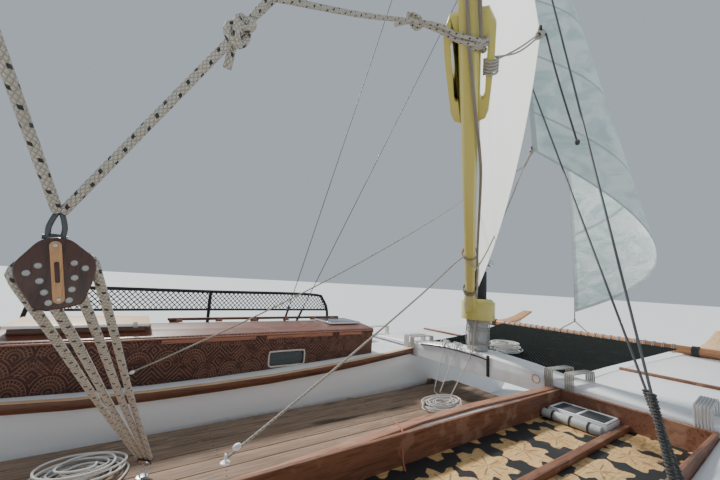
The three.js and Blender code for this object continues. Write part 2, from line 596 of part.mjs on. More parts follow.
// Winches on the mast's starboard side, above the sleeve, on one pad.
const WINCH = { z: 1930, radius: 32, length: 62, pad: 14, padHalf: 40, padRise: 70, rim: 40, rimThick: 12 };
const winchFace = MAST.radius + GAP;
const winchPad = cut(
  box(MAST_X - WINCH.padHalf, MAST_X + WINCH.padHalf, -winchFace - WINCH.pad, -MAST.radius / 2,
    WINCH.z - WINCH.padRise, WINCH.z + WINCH.padRise),
  rod(at(MAST_X, 0, WINCH.z - 2 * WINCH.padRise), at(MAST_X, 0, WINCH.z + 2 * WINCH.padRise), winchFace, MAST.sides),
);
const drumFoot = -winchFace - WINCH.pad;
const drumHead = drumFoot - WINCH.length;
const winchDrum = rod(at(MAST_X, drumFoot + 1, WINCH.z), at(MAST_X, drumHead, WINCH.z), WINCH.radius, 12);
const winchRim = rod(at(MAST_X, drumHead + 1, WINCH.z), at(MAST_X, drumHead - WINCH.rimThick, WINCH.z), WINCH.rim, 12);
add("mast_winch", join(winchPad, winchDrum, winchRim), "steel");

// Chainplates on the outer side decks, and the shrouds with a thick lashing at each foot.
const STAY_RADIUS = 5;
const STAY_SIDES = 12;
const LASHING = { radius: 16, length: 430, taper: 50 };
const PLATE = { halfLength: 70, halfWidth: 26, height: 42 };

// A round piece from a foot towards a head, its radius given along the way.
function turned(foot, head, profile) {
  const points = [[0, 0], ...profile.map(([distance, radius]) => [radius, distance]), [0, profile.at(-1)[0]]];
  const geometry = new THREE.LatheGeometry(points.map(([radius, distance]) => new THREE.Vector2(radius, distance)), STAY_SIDES);
  const along = head.clone().sub(foot).normalize();
  geometry.applyQuaternion(new THREE.Quaternion().setFromUnitVectors(at(0, 1, 0), along));
  return geometry.translate(foot.x, foot.y, foot.z);
}

for (const { side, sign } of SIDES) {
  const middleX = (CHAINPLATE.upperX + CHAINPLATE.lowerX) / 2;
  const reach = (CHAINPLATE.lowerX - CHAINPLATE.upperX) / 2 + PLATE.halfLength;
  const seat = Math.max(hullLine("sheer", middleX - reach), hullLine("sheer", middleX + reach)) + GAP;
  add(`chainplate_${side}`, box(middleX - reach, middleX + reach, sign * (CHAINPLATE.y - PLATE.halfWidth),
    sign * (CHAINPLATE.y + PLATE.halfWidth), seat, seat + PLATE.height), "steel");
  for (const [stay, footX, topZ] of [["upper", CHAINPLATE.upperX, UPPER_STAY_Z], ["lower", CHAINPLATE.lowerX, LOWER_STAY_Z]]) {
    const foot = at(footX, sign * CHAINPLATE.y, seat + PLATE.height + GAP);
    const away = at(foot.x - MAST_X, foot.y, 0).normalize();
    const head = at(MAST_X, 0, topZ).addScaledVector(away, MAST.radius + STAY_RADIUS + GAP);
    const lean = at(0, 0, 1).angleTo(head.clone().sub(foot));
    foot.z += LASHING.radius * Math.sin(lean);
    const length = foot.distanceTo(head);
    add(`shroud_${side}_${stay}`, turned(foot, head, [[0, LASHING.radius], [LASHING.length, LASHING.radius],
      [LASHING.length + LASHING.taper, STAY_RADIUS], [length, STAY_RADIUS]]), "steel");
  }
}

// Forestay from the bridle to the masthead, sagging a little to starboard.
const FORESTAY = { radius: 6, sag: 260, steps: 24 };
const STAY_FOOT = at(3440, 0, 1330);
const STAY_HEAD = at(MAST_X + MAST.radius + FORESTAY.radius + GAP, 0, 8820);
function stayPoint(t) {
  return STAY_FOOT.clone().lerp(STAY_HEAD, t).add(at(0, -FORESTAY.sag * 4 * t * (1 - t), 0));
}
const stayLine = Array.from({ length: 9 }, (_, i) => stayPoint(i / 8));
add("forestay", tube(stayLine, FORESTAY.radius, FORESTAY.steps, 8), "steel");

// Two-leg bridle from the fore beam to the forestay's foot.
const BRIDLE = { spread: 160, radius: 8, shackle: 12, shackleLength: 44 };
const stayDown = new THREE.CatmullRomCurve3(stayLine, false, "centripetal").getTangent(0).negate();
const bridleEye = STAY_FOOT.clone().addScaledVector(stayDown, GAP);
const bridleTop = bridleEye.clone().addScaledVector(stayDown, BRIDLE.shackleLength);
const bridleLean = Math.atan2(BRIDLE.spread, bridleTop.z - foreBeamZ - FORE_BEAM.radius);
const bridleFootZ = foreBeamZ + FORE_BEAM.radius + GAP + BRIDLE.radius * Math.sin(bridleLean);
const bridleLegs = [-1, 1].map((turn) => rod(at(FORE_BEAM.x, turn * BRIDLE.spread, bridleFootZ),
  bridleTop.clone().addScaledVector(stayDown, -BRIDLE.radius), BRIDLE.radius, 8));
add("stay_bridle", join(...bridleLegs, rod(bridleEye, bridleTop, BRIDLE.shackle, 8)), "rope");

// Boom: a bar on a forked jaw round the mast that turns on the post, and a slotted wing plate on each side.
const boomFrame = new THREE.Matrix4().makeTranslation(MAST_X, 0, 0)
  .multiply(new THREE.Matrix4().makeRotationZ(THREE.MathUtils.degToRad(180 + BOOM_SWING)))
  .multiply(new THREE.Matrix4().makeTranslation(0, -BOOM.toPort, BOOM.heel))
  .multiply(new THREE.Matrix4().makeRotationY(THREE.MathUtils.degToRad(-BOOM_RISE)));
const boomUp = at(0, 0, 1).transformDirection(boomFrame);
const JAW = { inner: 76, outer: 165, bottom: POST.top + RUNNING_GAP, step: 1470, top: 1565, slope: 35 };
const jawProfile = [[JAW.inner, JAW.bottom], [JAW.outer, JAW.bottom], [JAW.outer, JAW.top - JAW.slope], [JAW.outer - JAW.slope, JAW.top],
  [JAW.inner, JAW.top], [JAW.inner, JAW.bottom]].map(([r, z]) => new THREE.Vector2(r, z));
const jaw = new THREE.LatheGeometry(jawProfile, 24).rotateX(Math.PI / 2).translate(MAST_X, 0, 0);
const barSection = [[-1, -0.6], [-0.6, -1], [0.6, -1], [1, -0.6], [1, 0.6], [0.6, 1], [-0.6, 1], [-1, 0.6]];
const boomBar = loft([
  { x: 60, half: 60, depth: 70 },
  { x: 260, half: 58, depth: 66 },
  { x: 420, half: BOOM.halfWidth, depth: BOOM.halfDepth },
  { x: BOOM.length - 80, half: BOOM.halfWidth, depth: BOOM.halfDepth },
  { x: BOOM.length, half: BOOM.halfWidth * 0.7, depth: BOOM.halfDepth * 0.7 },
].map(({ x, half, depth }) => barSection.map(([across, up]) => at(x, across * half, up * depth)))).applyMatrix4(boomFrame);

const SLOT = { near: BOOM.halfWidth + 8, far: BOOM.halfWidth + 36, corner: 12 };
const mastWay = rod(at(MAST_X, 0, JAW.bottom - 200), at(MAST_X, 0, JAW.step + 1), JAW.inner, 24);
const sleeveWay = rod(at(MAST_X, 0, JAW.step), at(MAST_X, 0, SLEEVE.top + 200), SLEEVE.radius + 8, 24);
const belowJaw = rod(at(MAST_X, 0, 0), at(MAST_X, 0, JAW.bottom), 700, 24);
add("boom", cut(join(boomBar, jaw), mastWay, sleeveWay, belowJaw), "yellow");

// A wing's outline, from its narrow end: distance along the boom and distance from its middle.
const { from: wingFrom, to: wingTo, halfWidth: wingHalf, slotFrom, slotTo, thick: wingThick } = BOOM_WING;
const wingSeat = BOOM.halfWidth + GAP;
const wingOutline = [[wingFrom, wingSeat], [wingFrom + 15, 78], [wingFrom + 60, 92], [wingFrom + 180, 100], [wingFrom + 330, wingHalf],
  [wingTo - 60, wingHalf], [wingTo, wingHalf - 30], [wingTo, wingSeat]];
const slotOutline = [[slotFrom + SLOT.corner, SLOT.near], [slotTo - SLOT.corner, SLOT.near], [slotTo, SLOT.near + SLOT.corner],
  [slotTo - SLOT.corner, SLOT.far], [slotFrom + 2 * SLOT.corner, SLOT.far - 6], [slotFrom, SLOT.near + SLOT.corner]];
for (const { side, sign } of SIDES) {
  const [shape, slot] = [wingOutline, slotOutline].map((line) => line.map(([x, y]) => new THREE.Vector2(x, -sign * y)));
  const wingShape = new THREE.Shape(shape);
  wingShape.holes.push(new THREE.Path(slot));
  const plate = new THREE.ExtrudeGeometry(wingShape, { depth: wingThick, bevelEnabled: false });
  add(`boom_wing_${side}`, plate.translate(0, 0, -wingThick / 2).applyMatrix4(boomFrame), "yellow");
}

// A rope from a point to the boom: it stops just clear of a face that looks along facing.
function ropeToBoom(from, place, facing, radius) {
  const end = place.clone().applyMatrix4(boomFrame);
  const lean = facing.angleTo(from.clone().sub(end));
  end.addScaledVector(facing, GAP + radius * Math.sin(lean));
  return rod(end, from, radius, 8);
}

// Mainsail, loose-footed: luff up the mast, tack above the jaw, clew lashed to the boom's wing.
const MAIN = { tackZ: 1690, headZ: 8450, luffGap: 88, luffTurn: 38, clew: at(-165, -1366, 2960), head: 60, round: 0.86,
  belly: 0.04, droop: -60, columns: 10, rows: 14, thick: 8, lashing: 9 };
const mainAlong = at(MAIN.clew.x - MAST_X, MAIN.clew.y, 0).normalize();
const mainAcross = at(-mainAlong.y, mainAlong.x, 0);
const mainChord = Math.hypot(MAIN.clew.x - MAST_X, MAIN.clew.y) - MAIN.luffGap;
const luffAway = at(-MAIN.luffGap, 0, 0).applyAxisAngle(at(0, 0, 1), THREE.MathUtils.degToRad(MAIN.luffTurn));
function mainsailPoint(u, v) {
  const luffZ = THREE.MathUtils.lerp(MAIN.tackZ, MAIN.headZ, v);
  const chord = MAIN.head + (mainChord - MAIN.head) * (1 - v) ** MAIN.round;
  const luff = at(MAST_X, 0, luffZ).add(luffAway);
  const leech = at(MAST_X, 0, luffZ + (MAIN.clew.z - MAIN.tackZ) * (1 - v)).addScaledVector(mainAlong, MAIN.luffGap + chord);
  const hang = at(0, 0, -MAIN.droop * Math.sin(Math.PI * u) * (1 - v));
  return luff.lerp(leech, u).addScaledVector(mainAcross, MAIN.belly * chord * 4 * u * (1 - u)).add(hang);
}
const clewLashing = ropeToBoom(mainsailPoint(0.99, 0), at(2530, (SLOT.far + wingHalf) / 2, wingThick / 2), boomUp, MAIN.lashing);
add("mainsail", join(sheet(mainsailPoint, MAIN.columns, MAIN.rows, MAIN.thick, mainAcross), clewLashing), "sail");

// Jib: luff along the forestay, clew sheeted in beside the mast, with a deep belly to starboard.
const JIB = { tack: 0.012, head: 0.84, headWidth: 60, clew: at(1760, -310, 3230), belly: 0.55, fade: 0.28, forward: 0.17, droop: 180,
  columns: 12, rows: 12, thick: 10, off: 6.7 };
function jibPoint(u, v) {
  const luff = stayPoint(THREE.MathUtils.lerp(JIB.tack, JIB.head, v)).add(at(-JIB.off, 0, 0));
  const head = stayPoint(JIB.head).add(at(-JIB.off - JIB.headWidth, 0, 0));
  const chord = JIB.clew.clone().lerp(head, v).sub(luff);
  const depth = JIB.belly * Math.hypot(chord.x, chord.y) * (1 - JIB.fade * v);
  const round = Math.sin(Math.PI * u);
  return luff.addScaledVector(chord, u).add(at(JIB.forward * depth * round, -depth * round, -JIB.droop * round * (1 - v)));
}
add("jib", sheet(jibPoint, JIB.columns, JIB.rows, JIB.thick, at(0, 1, 0)), "sail");

// Mainsheet's upper block: a thick plate with a strap and an eye, on a rope bridle from the boom.
const BLOCK = { x: -1858, y: -1104, z: 1647, thick: 46, turn: 8, lean: -10, strapHalf: 10, eyeTop: 140, rope: 10, ropeFeet: [3150, 5500] };
const blockHalfLine = [[20, 76], [68, 24], [66, -14], [34, -80]];
const plateShape = new THREE.Shape([...blockHalfLine, ...blockHalfLine.map(([x, z]) => [-x, z]).reverse()]
  .map(([x, z]) => new THREE.Vector2(x, z)));
const plates = new THREE.ExtrudeGeometry(plateShape, { depth: BLOCK.thick, bevelEnabled: false });
plates.translate(0, 0, -BLOCK.thick / 2).rotateX(Math.PI / 2);
const strap = box(-BLOCK.strapHalf, BLOCK.strapHalf, -BLOCK.thick / 2 - 6, BLOCK.thick / 2 + 6, -72, 84);
const cheeks = join(plates, strap).rotateY(THREE.MathUtils.degToRad(BLOCK.lean));
const blockTop = at(0, 0, 78).applyAxisAngle(at(0, 1, 0), THREE.MathUtils.degToRad(BLOCK.lean));
const eye = rod(blockTop, at(blockTop.x, 0, BLOCK.eyeTop), 11, 8);
const block = join(cheeks, eye).rotateZ(THREE.MathUtils.degToRad(BLOCK.turn)).translate(BLOCK.x, BLOCK.y, BLOCK.z);
const bridleStart = at(blockTop.x, 0, BLOCK.eyeTop - 10).applyAxisAngle(at(0, 0, 1), THREE.MathUtils.degToRad(BLOCK.turn))
  .add(at(BLOCK.x, BLOCK.y, BLOCK.z));
const bridleRopes = BLOCK.ropeFeet.map((x) => ropeToBoom(bridleStart, at(x, 0, -BOOM.halfDepth), boomUp.clone().negate(), BLOCK.rope));
add("mainsheet_block", join(block, ...bridleRopes), "varnish");

// Rudders turning on round stocks behind the sterns, with tillers and the bar pinned on both.
const RUDDER = { stock: 30, thick: 34, head: 1190, foot: -520, chord: 330, tillerZ: 1170, tillerRise: 20, tillerReach: 975, tiller: 20 };
const RUDDER_X = HULL_LINES[0].x - RUNNING_GAP - RUDDER.stock;
const TILLER_BAR = { reach: 915, radius: 16, z: 1236, over: 20, pin: 9 };
for (const { side, sign } of SIDES) {
  const y = sign * HULL_CENTRE_Y;
  const { foot, head, chord } = RUDDER;
  const blade = new THREE.Shape([[0, foot], [-chord * 0.7, foot], [-chord, foot + 120], [-chord * 0.85, 250], [-130, 620],
    [-90, head - 40], [0, head - 40]].map(([x, z]) => new THREE.Vector2(x, z)));
  const plate = new THREE.ExtrudeGeometry(blade, { depth: RUDDER.thick, bevelEnabled: false });
  plate.rotateX(Math.PI / 2).translate(RUDDER_X, y + RUDDER.thick / 2, 0);
  const stock = rod(at(RUDDER_X, y, foot), at(RUDDER_X, y, head), RUDDER.stock, 16);
  const tiller = rod(at(RUDDER_X, y, RUDDER.tillerZ - RUDDER.tiller),
    at(RUDDER_X + RUDDER.tillerReach, y, RUDDER.tillerZ + RUDDER.tillerRise), RUDDER.tiller, 8);
  const pin = rod(at(RUDDER_X + TILLER_BAR.reach, y, RUDDER.tillerZ + RUDDER.tillerRise),
    at(RUDDER_X + TILLER_BAR.reach, y, TILLER_BAR.z - TILLER_BAR.radius - RUNNING_GAP), TILLER_BAR.pin, 8);
  add(`rudder_${side}`, join(plate, stock, tiller, pin), "varnish");
}
const barEnd = HULL_CENTRE_Y + TILLER_BAR.over;
add("tiller_bar", rod(at(RUDDER_X + TILLER_BAR.reach, -barEnd, TILLER_BAR.z), at(RUDDER_X + TILLER_BAR.reach, barEnd, TILLER_BAR.z),
  TILLER_BAR.radius, 8), "mast");

export default canoe;
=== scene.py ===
"""Looks of a double-hulled sailing canoe, modelled and dressed around its fixed frame.

Every length is in metres, in the frame's own axes: +X forward, +Y to port, +Z up, with the
origin on the centreline at the waterline.
"""
import contextlib
import functools
import logging
import math
import random
from dataclasses import dataclass
from enum import Enum
from typing import Callable, Iterator, Sequence

import bmesh
import bpy
from mathutils import Matrix, Vector
from mathutils.bvhtree import BVHTree


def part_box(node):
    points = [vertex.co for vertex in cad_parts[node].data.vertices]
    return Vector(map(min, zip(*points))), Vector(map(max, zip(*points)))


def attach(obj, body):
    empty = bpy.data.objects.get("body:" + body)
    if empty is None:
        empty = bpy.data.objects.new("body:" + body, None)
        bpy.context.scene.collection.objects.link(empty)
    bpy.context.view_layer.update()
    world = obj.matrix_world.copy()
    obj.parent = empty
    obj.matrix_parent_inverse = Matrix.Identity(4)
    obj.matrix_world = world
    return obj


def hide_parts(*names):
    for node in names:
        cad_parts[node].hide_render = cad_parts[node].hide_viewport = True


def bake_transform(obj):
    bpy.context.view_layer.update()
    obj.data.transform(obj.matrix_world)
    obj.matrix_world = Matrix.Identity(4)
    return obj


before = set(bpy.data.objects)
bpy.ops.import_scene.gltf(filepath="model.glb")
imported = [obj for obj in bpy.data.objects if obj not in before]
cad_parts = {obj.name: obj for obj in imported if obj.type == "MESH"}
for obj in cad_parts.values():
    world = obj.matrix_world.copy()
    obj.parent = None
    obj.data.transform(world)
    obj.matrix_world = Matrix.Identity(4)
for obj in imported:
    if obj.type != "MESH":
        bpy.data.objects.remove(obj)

LOG = logging.getLogger("canoe")
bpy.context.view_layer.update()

Point = tuple[float, float, float]
Colour = tuple[float, float, float]
Piece = bpy.types.Object
Test = Callable[[Vector, Vector], bool]


# Shader sums and graphs

class Value:
    """A shader value that takes part in Python sums; each operator adds one Math node."""

    def __init__(self, tree: bpy.types.NodeTree, socket: bpy.types.NodeSocket) -> None:
        """Keeps the socket and the tree that it belongs to.

        Args:
            tree: The material's node tree.
            socket: The output that holds the value.
        """
        self.tree = tree
        self.socket = socket

    def _sum(self, operation: str, *terms: "Value | float") -> "Value":
        """Adds one Math node.

        Args:
            operation: The Math node's operation.
            terms: Its inputs in order, values or plain numbers.

        Returns:
            The node's result.
        """
        node = self.tree.nodes.new("ShaderNodeMath")
        node.operation = operation
        for term, inlet in zip(terms, node.inputs):
            if isinstance(term, Value):
                self.tree.links.new(term.socket, inlet)
            else:
                inlet.default_value = term
        return Value(self.tree, node.outputs[0])

    def __add__(self, other: "Value | float") -> "Value":
        """Returns self + other."""
        return self._sum("ADD", self, other)

    __radd__ = __add__

    def __sub__(self, other: "Value | float") -> "Value":
        """Returns self - other."""
        return self._sum("SUBTRACT", self, other)

    def __rsub__(self, other: float) -> "Value":
        """Returns other - self."""
        return self._sum("SUBTRACT", other, self)

    def __mul__(self, other: "Value | float") -> "Value":
        """Returns self * other."""
        return self._sum("MULTIPLY", self, other)

    __rmul__ = __mul__

    def __truediv__(self, other: "Value | float") -> "Value":
        """Returns self / other."""
        return self._sum("DIVIDE", self, other)

    def __rtruediv__(self, other: float) -> "Value":
        """Returns other / self."""
        return self._sum("DIVIDE", other, self)

    def __pow__(self, other: "Value | float") -> "Value":
        """Returns self ** other."""
        return self._sum("POWER", self, other)

    def __gt__(self, other: "Value | float") -> "Value":
        """Returns 1 where self > other, else 0."""
        return self._sum("GREATER_THAN", self, other)

    def __lt__(self, other: "Value | float") -> "Value":
        """Returns 1 where self < other, else 0."""
        return self._sum("LESS_THAN", self, other)

    def __abs__(self) -> "Value":
        """Returns the value without its sign."""
        return self._sum("ABSOLUTE", self)

    def __mod__(self, other: float) -> "Value":
        """Returns what is left of self over other, never below 0."""
        return self._sum("FLOORED_MODULO", self, other)

    def __floordiv__(self, other: float) -> "Value":
        """Returns self / other, rounded down."""
        return self._sum("FLOOR", self / other)


class Graph:
    """One material's nodes, around the shader that it starts with."""

    def __init__(self, name: str) -> None:
        """Makes the material.

        Args:
            name: The material's name.
        """
        self.material = bpy.data.materials.new(name)
        self.material.use_nodes = True
        self.tree = self.material.node_tree
        self.shader = self.tree.nodes["Principled BSDF"]

    def plug(self, value: object, inlet: bpy.types.NodeSocket) -> None:
        """Links or sets one input.

        Args:
            value: A Value, a number, a colour or a vector.
            inlet: The input.
        """
        if isinstance(value, Value):
            self.tree.links.new(value.socket, inlet)
        elif inlet.type == "RGBA":
            inlet.default_value = (*value, 1.0)
        else:
            inlet.default_value = value

    def node(self, kind: str, settings: dict | None = None, values: dict | None = None,
             outlet: int | str = 0) -> Value:
        """Adds one node.

        Args:
            kind: The node's type, after its ShaderNode prefix.
            settings: Its settings, set first; stops are a ramp's (place, colour) pairs.
            values: Its inputs by name or number.
            outlet: The output to return.

        Returns:
            The chosen output.
        """
        node = self.tree.nodes.new(f"ShaderNode{kind}")
        for key, setting in (settings or {}).items():
            if key == "stops":
                elements = node.color_ramp.elements
                while len(elements) < len(setting):
                    elements.new(1.0)
                for element, (place, colour) in zip(elements, setting):
                    element.position = place
                    element.color = (*colour, 1.0)
            else:
                setattr(node, key, setting)
        for key, value in (values or {}).items():
            self.plug(value, node.inputs[key])
        return Value(self.tree, node.outputs[outlet])

    def place(self, scale: Point = (1, 1, 1), turn: Point = (0, 0, 0), move: Point = (0, 0, 0)) -> Value:
        """Returns the piece's own coordinates, scaled, turned and moved."""
        own = self.node("TexCoord", outlet="Object")
        return self.node("Mapping", {}, {"Vector": own, "Scale": scale, "Rotation": turn, "Location": move})

    def axes(self, vector: Value) -> tuple[Value, Value, Value]:
        """Returns a vector's three numbers."""
        split = self.node("SeparateXYZ", {}, {0: vector})
        outlets = split.socket.node.outputs
        return tuple(Value(self.tree, outlet) for outlet in outlets)

    def noise(self, vector: Value, scale: float, detail: float = 4.0, distortion: float = 0.0) -> Value:
        """Returns cloudy noise from 0 to 1."""
        return self.node("TexNoise", {}, {"Vector": vector, "Scale": scale, "Detail": detail,
                                          "Distortion": distortion})

    def ramp(self, value: Value, *stops: tuple[float, Colour]) -> Value:
        """Returns the colour that a ramp gives a value."""
        return self.node("ValToRGB", {"stops": stops}, {"Fac": value})

    def mix(self, share: Value | float, first: object, second: object) -> Value:
        """Returns a colour between two, first where share is 0."""
        return self.node("Mix", {"data_type": "RGBA"}, {0: share, 6: first, 7: second}, outlet=2)

    def step(self, value: Value, low: float, high: float) -> Value:
        """Returns 0 below low, 1 above high, and a smooth rise between them."""
        return self.node("MapRange", {"interpolation_type": "SMOOTHSTEP"},
                         {"Value": value, "From Min": low, "From Max": high})

    def surface(self, colour: object, roughness: object, bump: Value | None = None, depth: float = 0.001,
                **sockets: object) -> bpy.types.Material:
        """Sets the shader.

        Args:
            colour: Base colour, plain or linked.
            roughness: Roughness, plain or linked.
            bump: Height of the fine relief, from 0 to 1.
            depth: How deep that relief is, in metres.
            sockets: Other shader inputs, with _ for a space.

        Returns:
            The finished material.
        """
        self.plug(colour, self.shader.inputs["Base Color"])
        self.plug(roughness, self.shader.inputs["Roughness"])
        if bump is not None:
            relief = self.node("Bump", {}, {"Height": bump, "Distance": depth, "Strength": 1.0})
            self.plug(relief, self.shader.inputs["Normal"])
        for name, value in sockets.items():
            self.plug(value, self.shader.inputs[name.replace("_", " ").title().replace("Ior", "IOR")])
        return self.material


# Finishes

@dataclass(frozen=True)
class Paint:
    """Brushed or sprayed boat paint with faint dirt and orange peel."""

    name: str
    colour: Colour
    dirt: Colour
    roughness: float = 0.3
    soil: float = 0.35

    def make(self) -> bpy.types.Material:
        """Returns the material."""
        graph = Graph(self.name)
        own = graph.place()
        cloud = graph.noise(own, 1.7, 6)
        streak = graph.noise(graph.place((6, 6, 0.7)), 2.0, 5)
        speck = graph.step(graph.noise(own, 45.0, 3), 0.68, 0.8)
        soiled = graph.step(cloud * 0.6 + streak * 0.4, 0.5, 0.72) * self.soil + speck * 0.15
        colour = graph.mix(soiled, self.colour, self.dirt)
        peel = graph.noise(own, 160.0, 2)
        return graph.surface(colour, self.roughness + cloud * 0.15, peel, 0.0004,
                             coat_weight=0.25, coat_roughness=0.12)


@dataclass(frozen=True)
class Timber:
    """Finished timber with its grain along one axis."""

    name: str
    dark: Colour
    light: Colour
    grain: Point
    roughness: float = 0.35
    coat: float = 0.3
    wear: Colour | None = None

    def make(self) -> bpy.types.Material:
        """Returns the material."""
        graph = Graph(self.name)
        stretched = graph.place(self.grain)
        figure = graph.noise(stretched, 3.0, 8, 1.2)
        pores = graph.noise(graph.place(tuple(4 * part for part in self.grain)), 9.0, 4)
        colour = graph.ramp(figure * 0.8 + pores * 0.2, (0.34, self.dark), (0.54, self.light),
                            (0.72, self.dark))
        tone = graph.noise(graph.place(), 1.1, 3)
        colour = graph.mix(graph.step(tone, 0.42, 0.7) * 0.35, colour, self.dark)
        if self.wear is not None:
            rubbed = graph.step(graph.noise(graph.place((1.2, 1.2, 1.2)), 6.0, 8), 0.56, 0.66)
            colour = graph.mix(rubbed * 0.32, colour, self.wear)
        return graph.surface(colour, self.roughness + pores * 0.2, figure * 0.5 + pores * 0.5, 0.0008,
                             coat_weight=self.coat, coat_roughness=0.2)


@dataclass(frozen=True)
class Planking:
    """Bare weathered planks, each with a tone of its own, stains and dark nail heads."""

    name: str
    pitch: float
    edge: float

    def make(self) -> bpy.types.Material:
        """Returns the material."""
        graph = Graph(self.name)
        across, along = graph.axes(graph.place())[1::-1]
        index = (across + self.edge) // self.pitch
        tone = graph.node("TexWhiteNoise", {"noise_dimensions": "1D"}, {"W": index + 3.0})
        shifted = graph.node("CombineXYZ", {}, {0: along * 0.9 + index * 7.3, 1: across * 26, 2: index})
        grain = graph.noise(shifted, 2.6, 9, 1.6)
        fibre = graph.noise(graph.place((3, 160, 3)), 4.0, 3)
        wood = graph.ramp(grain * 0.75 + fibre * 0.25, (0.3, (0.06, 0.038, 0.026)),
                          (0.47, (0.19, 0.13, 0.09)),
                          (0.62, (0.33, 0.24, 0.17)), (0.8, (0.45, 0.35, 0.26)))
        warm = graph.mix(tone * 0.5, wood, (0.27, 0.165, 0.105))
        stain = graph.step(graph.noise(graph.place((0.9, 3.2, 1)), 1.9, 7), 0.58, 0.7)
        colour = graph.mix(stain * 0.8, warm, (0.045, 0.028, 0.02))
        scratch = graph.step(graph.noise(graph.place((2, 60, 1)), 3.0, 2), 0.66, 0.72)
        colour = graph.mix(scratch * 0.5, colour, (0.62, 0.56, 0.48))
        return graph.surface(colour, 0.72 + grain * 0.2, grain * 0.6 + fibre * 0.4 - scratch * 0.3, 0.0025)


@dataclass(frozen=True)
class CarvedPly:
    """Dark red-brown plywood covered with a generic pattern of fans and hatched bands."""

    name: str
    cell: float = 0.19

    def make(self) -> bpy.types.Material:
        """Returns the material."""
        graph = Graph(self.name)
        x, _, z = graph.axes(graph.place())
        row = z // (self.cell * 0.62)
        shifted = x / self.cell + (row % 2.0) * 0.5
        column = shifted // 1.0
        local_x = (shifted % 1.0 - 0.5) * 2.0
        local_z = (z / (self.cell * 0.62)) % 1.0
        reach = (local_x * local_x + local_z * local_z) ** 0.5
        angle = graph.node("Math", {"operation": "ARCTAN2"}, {0: local_z, 1: local_x})
        kind = graph.node("TexWhiteNoise", {"noise_dimensions": "2D"},
                          {"Vector": graph.node("CombineXYZ", {}, {0: column, 1: row})})
        rings = abs((reach * 5.0) % 1.0 - 0.5) < 0.14
        spokes = (abs((angle * 4.2) % 1.0 - 0.5) < 0.13) * (reach > 0.32) * (reach < 0.86)
        chevrons = abs((abs(local_x) * 3.0 + local_z * 3.5) % 1.0 - 0.5) < 0.13
        fan = rings * (kind < 0.5) + spokes * (kind < 0.78) + chevrons * (kind > 0.5)
        line = graph.step(fan, 0.2, 0.8)
        wood = graph.noise(graph.place((3, 3, 22)), 3.0, 6, 1.0)
        ground = graph.ramp(wood, (0.3, (0.016, 0.006, 0.005)), (0.55, (0.06, 0.017, 0.011)),
                            (0.75, (0.12, 0.036, 0.02)))
        worn = graph.noise(graph.place(), 14.0, 5)
        colour = graph.mix(line * graph.step(worn, 0.3, 0.5) * 0.62, ground, (0.36, 0.17, 0.1))
        return graph.surface(colour, 0.5 + worn * 0.2, 1.0 - line * 0.7 + wood * 0.3, 0.002)


@dataclass(frozen=True)
class LeafPly:
    """Black painted ply with tan lobed leaves left bare, in staggered rows."""

    name: str
    cell: float = 0.31

    def make(self) -> bpy.types.Material:
        """Returns the material."""
        graph = Graph(self.name)
        x, y, _ = graph.axes(graph.place())
        row = y // self.cell
        shifted = x / self.cell + (row % 2.0) * 0.47
        column = shifted // 1.0
        key = graph.node("CombineXYZ", {}, {0: column, 1: row})
        chance = graph.node("TexWhiteNoise", {"noise_dimensions": "2D"}, {"Vector": key})
        jagged = graph.noise(graph.place(), 26.0, 4)
        local_x = shifted % 1.0 - 0.5 + chance * 0.12 - 0.06
        local_y = (y / self.cell) % 1.0 - 0.5 - chance * 0.1 + 0.05
        reach = (local_x * local_x + local_y * local_y) ** 0.5
        angle = graph.node("Math", {"operation": "ARCTAN2"}, {0: local_y, 1: local_x}) + chance * 6.28
        lobes = graph.node("Math", {"operation": "COSINE"}, {0: angle * 7.0})
        notch = graph.node("Math", {"operation": "COSINE"}, {0: angle})
        edge = 0.43 + lobes * 0.085 + notch * 0.05 + (jagged - 0.5) * 0.16
        leaf = graph.step(edge - reach, -0.008, 0.012)
        rib = abs((angle * 1.114 + 0.5) % 1.0 - 0.5) < 0.022 / (reach + 0.08)
        vein = rib * (reach < 0.3)
        wood = graph.noise(graph.place((4, 30, 4)), 3.0, 7, 1.4)
        bare = graph.ramp(wood, (0.3, (0.4, 0.22, 0.08)), (0.5, (0.62, 0.4, 0.17)), (0.7, (0.72, 0.5, 0.25)))
        rubbed = graph.noise(graph.place(), 9.0, 7)
        bare = graph.mix(graph.step(rubbed, 0.6, 0.7) * 0.6, bare, (0.25, 0.13, 0.05))
        black = graph.mix(graph.step(rubbed, 0.55, 0.75) * 0.4, (0.013, 0.014, 0.015), (0.07, 0.065, 0.06))
        colour = graph.mix(leaf * (1.0 - vein * 0.55), black, bare)
        return graph.surface(colour, 0.62 - leaf * 0.12, wood * 0.4 - leaf * 0.6, 0.001)


class Lay(Enum):
    """How a rope is made up."""

    BRAIDED = "braided"
    FLECKED = "flecked"
    TWISTED = "twisted"


